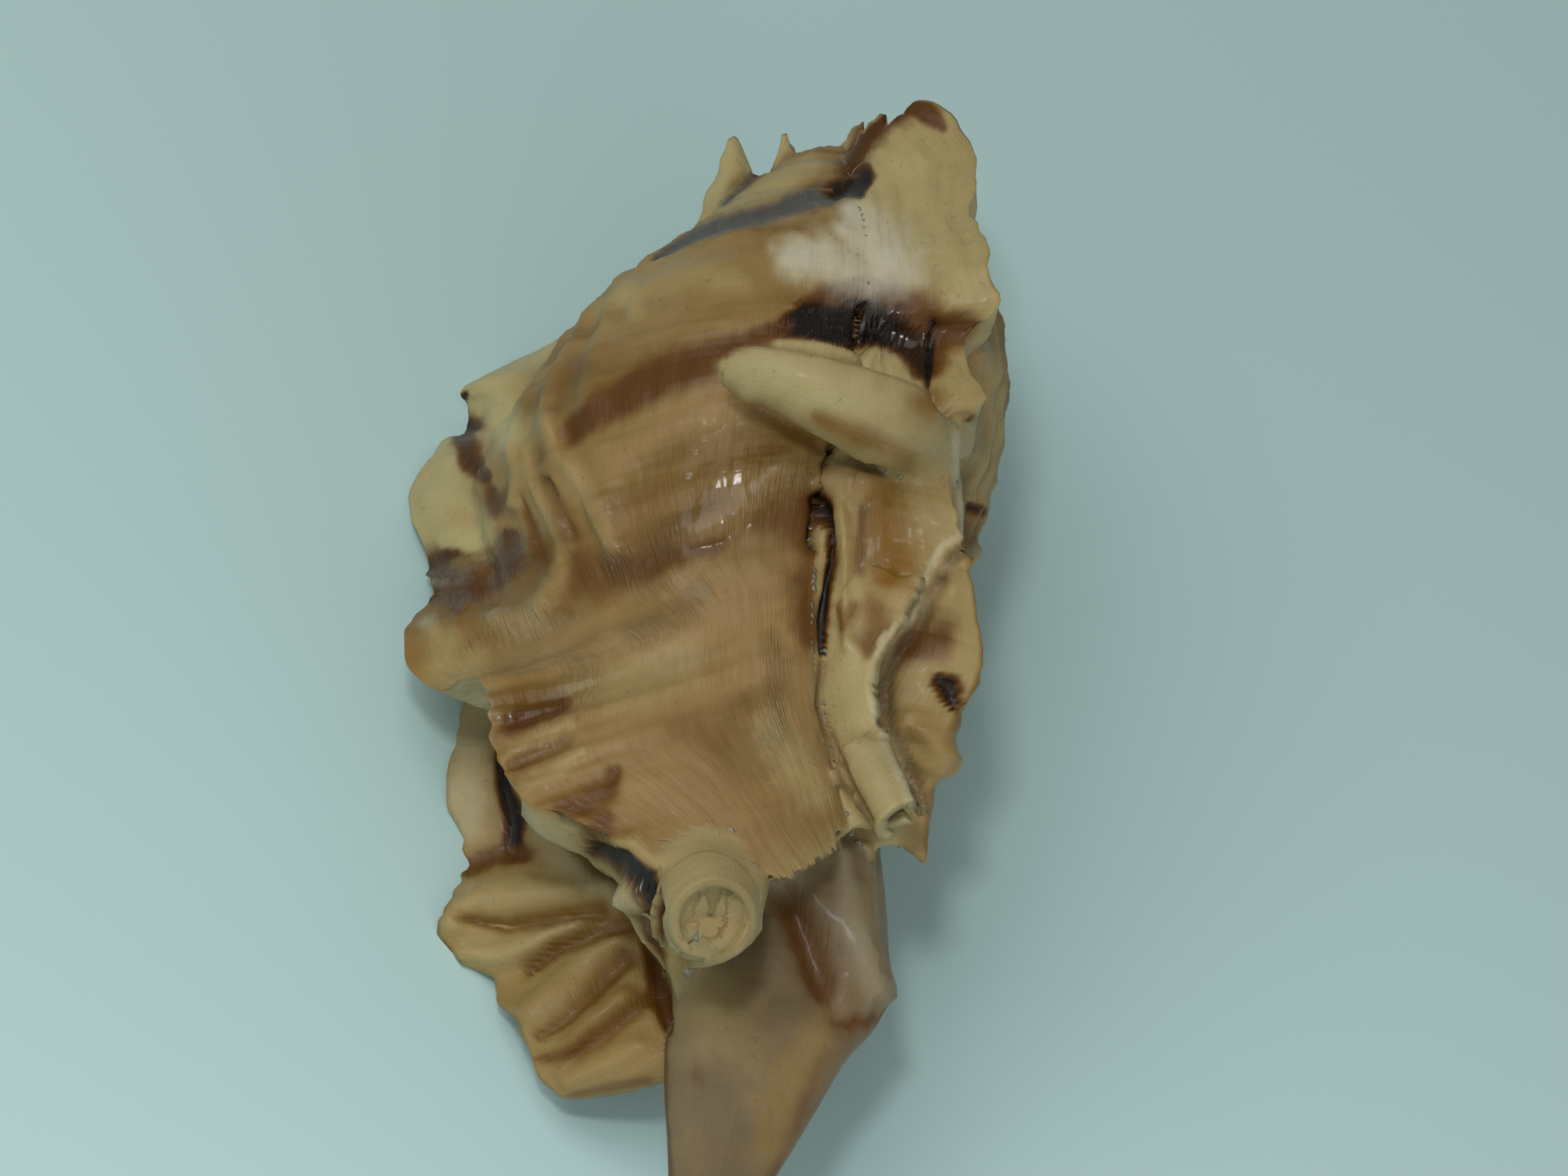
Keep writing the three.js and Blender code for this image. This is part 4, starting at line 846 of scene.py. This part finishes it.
        (13.3, 69.8, 1.39), (13.1, 71.1, 1.14), (10.9, 73.9, 1.01)]},
    "oldEndDark": {"push": -0.3, "paint": {"brown": 0.5}, "path": [
        (8.7, 71.6, 0.57), (10.6, 71.3, 0.57), (12.2, 71.0, 0.57)]},
    # The back wing, where it shows past the front one, with painted shade on the deeper layer and in the gap
    # behind the front wing's rim.
    "backWing": {"paint": {"blush": 0.2, "slate": 0.15, "cream": 0.6, "brown": 0}, "path": [
        (14.7, 16.1, 1.52), (15.8, 19.8, 1.9), (15.4, 24.3, 2.15), (14.9, 28.2, 1.65)]},
    "backStripe": {"paint": {"brown": 0.35, "slate": 0.3}, "path": [
        (15.3, 15.4, 0.51), (16.3, 18.4, 0.51), (16.4, 21.6, 0.51)]},
    "backSpot": {"push": -0.2, "paint": {"brown": 0.9}, "path": [(14.5, 29.8, 0.44), (15.0, 29.9, 0.44)]},
    "backFrillA": {"push": 0.6, "paint": {"cream": 0.5, "brown": 0}, "path": [
        (12.3, 35.2, 0.44), (14.1, 34.3, 0.76), (15.2, 32.9, 0.51)]},
    "backFrillB": {"push": 0.5, "paint": {"cream": 0.4, "brown": 0}, "path": [
        (11.6, 37.5, 1.01), (13.2, 37.3, 1.14)]},
    # Painted shade: the deeper layer is painted darker and greyer, and the gap beside it near black.
    "backPanelShade": {"push": -0.7, "paint": {"brown": 0.5, "slate": 0.2, "cream": 0}, "path": [
        (10.5, 41.5, 1.14), (12.6, 40.6, 1.52)]},
    "backGapShadow": {"edge": 2.4, "push": -1.0, "paint": {"brown": 0.95}, "path": [
        (13.0, 43.7, 0.63), (14.0, 44.2, 1.14), (14.6, 45.7, 0.51)]},
    "fingerA": {"push": 1.3, "paint": {"cream": 0.3, "amber": 0.2, "brown": 0}, "path": [
        (10.3, 47.9, 1.01), (11.5, 47.4, 1.39), (13.2, 48.5, 1.39), (14.5, 49.9, 1.14)]},
    "fingerB": {"paint": {"brown": 0.2, "amber": 0.3}, "path": [(11.0, 48.1, 0.76), (12.3, 48.3, 0.76)]},
    "fingerC": {"push": 0.5, "paint": {"cream": 0.35, "brown": 0}, "path": [
        (9.1, 48.6, 0.51), (11.2, 49.7, 0.7), (13.5, 51.0, 0.7), (14.6, 50.8, 0.51)]},
    "backLow": {"paint": {"brown": 0.16, "blush": 0.2}, "path": [
        (14.3, 54.4, 1.65), (13.4, 57.7, 1.52), (11.9, 61.1, 1.27)]},
}
channels = ["brown", "cream", "slate", "part", "white", "amber", "blush", "gloss"]
# How far below level the front is seen from, in degrees, and how sharp and ragged the marks' edges are.
view = {"below": 27, "edge": 1.25, "jitter": 0.2}
below = math.radians(view["below"])
towardsCamera = Vector((0, -math.cos(below), -math.sin(below)))

# How many rings are smoothed round the seams, and how often: all seams, then more widely the spines' own.
seams = [{"rings": 2, "passes": 6, "fromPart": 0}, {"rings": 6, "passes": 30, "fromPart": 11}]


# Which vertices show from the front: the ones that face it with nothing before them.
def shownFromFront(bm, towards):
    tree = BVHTree.FromBMesh(bm)
    shown = np.zeros(len(bm.verts))
    for i, vert in enumerate(bm.verts):
        if vert.normal.dot(towards) > -0.05:
            start = vert.co + vert.normal * 0.12 + towards * 0.1
            shown[i] = tree.ray_cast(start, towards)[0] is None
    return shown


# Nearest distance from points to a path, as a share of the path's half width there.
def shareAcross(across, down, path):
    nearest = np.full(across.shape, 1e9)
    ends = path if len(path) > 1 else path * 2
    for (x, y, half), (nextX, nextY, nextHalf) in zip(ends, ends[1:]):
        spanX, spanY = nextX - x, nextY - y
        length = max(spanX * spanX + spanY * spanY, 1e-9)
        t = np.clip(((across - x) * spanX + (down - y) * spanY) / length, 0, 1)
        gap = np.hypot(across - x - spanX * t, down - y - spanY * t) / mix(half, nextHalf, t)
        nearest = np.minimum(nearest, gap)
    return nearest


# Rounds the seams where pieces join, by smoothing rings of vertices round them.
def softenSeams(bm, zoneLayer, rings, passes, fromPart):
    part = [round(vert[zoneLayer][3] * partScale, 2) for vert in bm.verts]
    seam = set()
    for edge in bm.edges:
        a, b = (part[vert.index] for vert in edge.verts)
        if abs(a - b) > 0.1 and max(a, b) >= fromPart:
            seam.update(edge.verts)
    for ring in range(rings):
        seam |= {other for vert in seam for edge in vert.link_edges for other in edge.verts}
    chosen = sorted(seam, key=lambda vert: vert.index)
    for smoothing in range(passes):
        bmesh.ops.smooth_vert(bm, verts=chosen, factor=0.5, use_axis_x=True, use_axis_y=True, use_axis_z=True)


leastIsland = 400


# Drops the loose crumbs that the joining leaves, by how few vertices they have.
def dropCrumbs(bm):
    left = set(bm.verts)
    while left:
        first = left.pop()
        island, waiting = {first}, [first]
        while waiting:
            for edge in waiting.pop().link_edges:
                for other in edge.verts:
                    if other not in island:
                        island.add(other)
                        waiting.append(other)
        left -= island
        if len(island) < leastIsland:
            bmesh.ops.delete(bm, geom=list(island), context="VERTS")


# The vertices made along the joins have no paint of their own, so they take what lies round them. This is one
# pass: those with nothing painted beside them are left bare, and a few of these show as specks.
def paintSeams(bm, layers):
    bare = [vert for vert in bm.verts if min(vert[layers[1]][:2]) > 0.98 or vert[layers[0]][3] > 0.98]
    waiting = set(bare)
    for vert in bare:
        near = [edge.other_vert(vert) for edge in vert.link_edges]
        near = [other for other in near if other not in waiting]
        if near:
            for layer in layers:
                vert[layer] = sum((other[layer] for other in near), Vector((0, 0, 0, 0))) / len(near)
            waiting.discard(vert)
    print("bare", len(bare), "left", len(waiting))


# Paints and pushes the marks on the vertices that show from the front.
def markFront(piece):
    bm = bmesh.new()
    bm.from_mesh(piece.data)
    dropCrumbs(bm)
    bm.verts.index_update()
    zoneLayer = bm.verts.layers.float_color["zones"]
    markLayer = bm.verts.layers.float_color["marks"]
    paintSeams(bm, (zoneLayer, markLayer))
    for seam in seams:
        softenSeams(bm, zoneLayer, **seam)
    bm.normal_update()
    shown = shownFromFront(bm, towardsCamera)
    points = np.array([vert.co for vert in bm.verts])
    normals = np.array([vert.normal for vert in bm.verts])
    paint = np.array([[*vert[zoneLayer], *vert[markLayer]] for vert in bm.verts])
    across = points[:, 0]
    down = math.sin(below) * points[:, 1] - math.cos(below) * points[:, 2]
    moved = np.zeros(len(points))
    for i, mark in enumerate(frontMarks.values()):
        ragged = wander(across * 0.9, down * 0.9, 50 + i) + 0.6 * wander(across * 2.6, down * 2.6, 170 + i)
        jitter = 1 + view["jitter"] * ragged
        share = shareAcross(across, down, mark["path"]) * jitter
        covered = np.exp(-(share ** (2 * mark.get("edge", view["edge"]))) * 0.9) * shown
        moved += mark.get("push", 0) * np.exp(-(share ** 2) * 1.4) * shown
        for name, value in mark["paint"].items():
            column = channels.index(name)
            paint[:, column] += (value - paint[:, column]) * covered
    points = points + normals * moved[:, None]
    for vert, point, colour in zip(bm.verts, points, paint):
        vert.co = point
        vert[zoneLayer] = colour[:4]
        vert[markLayer] = colour[4:]
    bm.to_mesh(piece.data)
    bm.free()


markFront(shell)
print("marked", len(shell.data.vertices), "vertices")

# How the shell lies: the side that faces up, its lean, and the low corner of its box once turned.
rest = {"upAngle": 18.06, "upLean": 4.91, "lowCorner": (-28.7664, -108.2979, -19.2040)}


# The axes of the lying shell, in its own frame, as rows.
def restAxes():
    lean, angle = math.radians(rest["upLean"]), math.radians(rest["upAngle"])
    up = Vector((math.cos(lean) * math.sin(angle), -math.cos(lean) * math.cos(angle), math.sin(lean)))
    right = Vector((0, 0, 1)).cross(up).normalized()
    return np.array([right, up.cross(right), up])


axes = restAxes()
lowCorner = np.array(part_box("shell")[0])


# From the shell's own millimetres to metres in the frame.
def toWorld(points):
    return (points @ axes.T - np.array(rest["lowCorner"])) * millimetre + lowCorner


# Turns the shell to the way it lies, and cuts it level where it meets the floor.
def layDown(piece):
    bm = bmesh.new()
    bm.from_mesh(piece.data)
    points = toWorld(np.array([vert.co for vert in bm.verts]))
    for vert, point in zip(bm.verts, points):
        vert.co = point
    everything = bm.verts[:] + bm.edges[:] + bm.faces[:]
    bmesh.ops.bisect_plane(bm, geom=everything, dist=1e-7, plane_co=(0, 0, lowCorner[2]),
                           plane_no=(0, 0, -1), clear_outer=True)
    bmesh.ops.holes_fill(bm, edges=[edge for edge in bm.edges if edge.is_boundary], sides=0)
    for face in bm.faces:
        face.smooth = True
    bm.to_mesh(piece.data)
    bm.free()


layDown(shell)
print("laid down")


# A screen colour from 0 to 255 as the linear colour that a socket takes.
def fromScreen(red, green, blue):
    channel = lambda value: (value / 255 / 12.92) if value < 10.3 else ((value / 255 + 0.055) / 1.055) ** 2.4
    return (channel(red), channel(green), channel(blue), 1)


# A shader socket that takes Python's own arithmetic. Every node is made by its node method.
class Wire:
    def __init__(self, tree, socket=None):
        self.tree, self.socket = tree, socket

    def node(self, kind, settings=None, values=None, out=0):
        made = self.tree.nodes.new("ShaderNode" + kind)
        for key, value in (settings or {}).items():
            if key == "stops":
                ramp = made.color_ramp.elements
                while len(ramp) < len(value):
                    ramp.new(0.5)
                for element, (position, colour) in zip(ramp, value):
                    element.position, element.color = position, colour
            else:
                setattr(made, key, value)
        for key, value in (values or {}).items():
            if isinstance(value, Wire):
                self.tree.links.new(value.socket, made.inputs[key])
            else:
                made.inputs[key].default_value = value
        return Wire(self.tree, made.outputs[out])

    def maths(self, operation, *values):
        return self.node("Math", {"operation": operation}, dict(enumerate(values)))

    def __add__(self, other):
        return self.maths("ADD", self, other)

    def __sub__(self, other):
        return self.maths("SUBTRACT", self, other)

    def __rsub__(self, other):
        return self.maths("SUBTRACT", other, self)

    def __mul__(self, other):
        return self.maths("MULTIPLY", self, other)

    def __pow__(self, other):
        return self.maths("POWER", self, other)

    __radd__, __rmul__ = __add__, __mul__

    # A smooth step from 0 at low to 1 at high.
    def rise(self, low, high):
        return self.node("MapRange", {"interpolation_type": "SMOOTHSTEP"},
                         {"Value": self, "From Min": low, "From Max": high, "To Min": 0, "To Max": 1})

    def mixColour(self, below, above, amount, blend="MIX"):
        settings = {"data_type": "RGBA", "blend_type": blend}
        return self.node("Mix", settings, {0: amount, 6: below, 7: above}, 2)

    def channel(self, index):
        return self.node("SeparateXYZ", {}, {0: self}, index)

    def noise(self, vector, scale, detail=3, roughness=0.5, distortion=0):
        return self.node("TexNoise", {}, {"Vector": vector, "Scale": scale, "Detail": detail,
                                          "Roughness": roughness, "Distortion": distortion})

    def stretched(self, vector, scale):
        return self.node("Mapping", {}, {"Vector": vector, "Scale": scale})


glaze = {
    "tan": fromScreen(146, 118, 68),
    "blush": fromScreen(160, 130, 88),
    "olive": fromScreen(104, 78, 16),
    "cream": fromScreen(182, 168, 118),
    "amber": fromScreen(128, 90, 12),
    "brown": fromScreen(92, 54, 4),
    "blackBrown": fromScreen(22, 9, 4),
    "porcelain": fromScreen(208, 204, 188),
    "slate": fromScreen(82, 80, 76),
    "speck": fromScreen(110, 84, 60),
}
# Sockets that are the same all over the shell.
finish = {
    "Specular IOR Level": 0.28,
    "Coat Roughness": 0.16,
    "Subsurface Weight": 0.1,
    "Subsurface Radius": (0.9, 0.5, 0.25),
    "Subsurface Scale": 0.002,
}


def shellGlaze():
    material = bpy.data.materials.new("shellGlaze")
    material.use_nodes = True
    tree = material.node_tree
    shader = tree.nodes["Principled BSDF"]
    wire = Wire(tree)
    uv = wire.node("UVMap", {"uv_map": "growth"})
    place = wire.node("TexCoord", {}, {}, 3)
    zones = wire.node("Attribute", {"attribute_name": "zones"}, {}, 1)
    marks = wire.node("Attribute", {"attribute_name": "marks"}, {}, 1)
    gloss = wire.node("Attribute", {"attribute_name": "marks"}, {}, 3)
    brown, cream, slate = (zones.channel(i) for i in range(3))
    white, amber, blush = (marks.channel(i) for i in range(3))

    bands = wire.noise(wire.stretched(uv, (1.5, 16, 1)), 1, 3)
    streaks = wire.noise(wire.stretched(uv, (30, 3, 1)), 1, 4, 0.6)
    striae = wire.noise(wire.stretched(uv, (130, 14, 1)), 1, 3, 0.6)
    threads = wire.noise(wire.stretched(uv, (4, 190, 1)), 1, 2)
    clouds = wire.noise(place, 90, 4, 0.55, 0.6)
    mottle = wire.noise(place, 420, 4, 0.6)
    dots = wire.noise(place, 1500, 2, 0.5)

    base = wire.mixColour(glaze["tan"], glaze["olive"], bands.rise(0.42, 0.66) * 0.75)
    base = wire.mixColour(base, glaze["blush"], clouds.rise(0.45, 0.7) * 0.4 + blush * 0.7)
    base = wire.mixColour(base, glaze["cream"], cream * (0.8 + mottle * 0.4))
    base = wire.mixColour(base, glaze["amber"], amber * (0.45 + clouds * 0.9))
    base = wire.mixColour(base, glaze["slate"], slate * (0.75 + mottle * 0.5))
    # The brown and near-black glaze carries real brown stains and also the marks' painted shade and painted
    # shadows.
    stainAndShade = brown * (0.95 + streaks * 0.65) + (streaks - 0.5) * 0.1
    base = wire.mixColour(base, glaze["brown"], stainAndShade.rise(0, 0.85))
    base = wire.mixColour(base, glaze["blackBrown"], (brown + mottle * 0.2 - 0.1).rise(0.55, 0.98))
    base = wire.mixColour(base, glaze["porcelain"], white * (0.7 + mottle * 0.6))
    base = wire.mixColour(base, glaze["speck"], dots.rise(0.66, 0.74) * 0.35)
    shade = wire.mixColour((0.8, 0.78, 0.76, 1), (1.12, 1.12, 1.12, 1), clouds * 0.5 + mottle * 0.5)
    base = wire.mixColour(base, shade, 0.8, "MULTIPLY")
    tree.links.new(base.socket, shader.inputs["Base Color"])

    rough = 0.5 - gloss * 0.3 + (mottle - 0.5) * 0.3 + (striae - 0.5) * 0.3
    tree.links.new(rough.socket, shader.inputs["Roughness"])
    height = (bands * 0.25 + streaks * 0.1 + striae * (0.2 + gloss * 1.7) + threads * 0.1
              + mottle * (0.2 + gloss * 0.8))
    relief = wire.node("Bump", {}, {"Strength": 0.8, "Distance": 0.0005, "Height": height})
    tree.links.new(relief.socket, shader.inputs["Normal"])
    coat = gloss * 0.45 + 0.06
    tree.links.new(coat.socket, shader.inputs["Coat Weight"])
    for socket, value in finish.items():
        shader.inputs[socket].default_value = value
    return material


shell.data.materials.clear()
shell.data.materials.append(shellGlaze())
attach(shell, "root")
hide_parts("shell")
print("glazed")

# The camera's distances are in the shell's millimetres, and its view is this wide at the focus.
studio = {
    "viewWidth": 127.595,
    "distance": 900,
    "focusDepth": 10,
    "sensor": 36,
    "lean": 6.95,
    "centre": (-4.557, -37.72),
    "lightsAim": (0, 0, -50),
    "floorSize": 3,
    "floorColour": (180, 210, 210),
    "floorRoughness": 0.9,
    "worldColour": (222, 225, 221),
    "worldStrength": 0.27,
}

# Each direction is how far right, up and back of the aim the light stands, as the camera sees it.
lights = {
    "keyLight": {"direction": (-0.25, 0.7, 0.8), "distance": 0.9, "size": 0.7, "power": 3.2,
                 "colour": (1, 0.98, 0.94)},
    "glintLight": {"direction": (-0.05, 0.3, 1), "distance": 0.6, "size": 0.07, "power": 0.75,
                   "colour": (1, 1, 1)},
    "lowLight": {"direction": (0.4, -0.9, 0.35), "distance": 0.5, "size": 0.3, "power": 0.7,
                 "colour": (0.92, 0.97, 1)},
}
# Brightens the floor beyond the canal.
floorGlow = {"size": (0.6, 0.12), "power": 0.26, "colour": (0.97, 1, 1), "place": (0.07, -0.16, 0.12)}


def turned(vector):
    return Vector(axes @ np.array(vector))


# The camera's right and up directions, in the shell's own frame.
leanAngle = math.radians(studio["lean"])
axisUp = Vector((0, -math.sin(below), math.cos(below)))
across = Vector((1, 0, 0))
cameraRight = math.cos(leanAngle) * across + math.sin(leanAngle) * axisUp
cameraUp = math.cos(leanAngle) * axisUp - math.sin(leanAngle) * across


def addCamera():
    data = bpy.data.cameras.new("camera")
    data.sensor_width = studio["sensor"]
    data.lens = studio["sensor"] * studio["distance"] / studio["viewWidth"]
    camera = bpy.data.objects.new("camera", data)
    bpy.context.scene.collection.objects.link(camera)
    right, up = studio["centre"]
    middle = cameraRight * right + cameraUp * up + towardsCamera * studio["focusDepth"]
    eye = middle + towardsCamera * studio["distance"]
    camera.location = Vector(toWorld(np.array([eye]))[0])
    columns = [turned(vector) for vector in (cameraRight, cameraUp, towardsCamera)]
    rotation = camera.rotation_euler.to_matrix()
    for i, column in enumerate(columns):
        rotation.col[i] = column
    camera.rotation_euler = rotation.to_euler()
    bpy.context.scene.camera = camera


def areaLight(name, shape, power, colour):
    data = bpy.data.lights.new(name, "AREA")
    data.shape, data.energy, data.color = shape, power, colour
    light = bpy.data.objects.new(name, data)
    bpy.context.scene.collection.objects.link(light)
    return light


def addLight(name, direction, distance, size, power, colour):
    light = areaLight(name, "DISK", power, colour)
    light.data.size = size
    right, up, back = direction
    offset = turned(cameraRight * right + cameraUp * up + towardsCamera * back).normalized()
    middle = Vector(toWorld(np.array([studio["lightsAim"]]))[0])
    light.location = middle + offset * distance
    light.rotation_euler = offset.to_track_quat("Z", "Y").to_euler()


def addFloorGlow():
    light = areaLight("floorGlow", "RECTANGLE", floorGlow["power"], floorGlow["colour"])
    light.data.size, light.data.size_y = floorGlow["size"]
    light.location = floorGlow["place"]


def addFloor():
    bm = bmesh.new()
    bmesh.ops.create_grid(bm, x_segments=1, y_segments=1, size=studio["floorSize"])
    bmesh.ops.translate(bm, vec=(0, 0, lowCorner[2]), verts=bm.verts)
    floor = meshPiece("floor", bm)
    material = bpy.data.materials.new("floorPaper")
    material.use_nodes = True
    shader = material.node_tree.nodes["Principled BSDF"]
    shader.inputs["Base Color"].default_value = fromScreen(*studio["floorColour"])
    shader.inputs["Roughness"].default_value = studio["floorRoughness"]
    floor.data.materials.append(material)


def addWorld():
    world = bpy.data.worlds.new("studio")
    world.use_nodes = True
    background = world.node_tree.nodes["Background"]
    background.inputs["Color"].default_value = fromScreen(*studio["worldColour"])
    background.inputs["Strength"].default_value = studio["worldStrength"]
    bpy.context.scene.world = world


addCamera()
for name, light in lights.items():
    addLight(name, **light)
addFloorGlow()
addFloor()
addWorld()
bpy.context.scene.view_settings.view_transform = "Standard"
print("studio set")
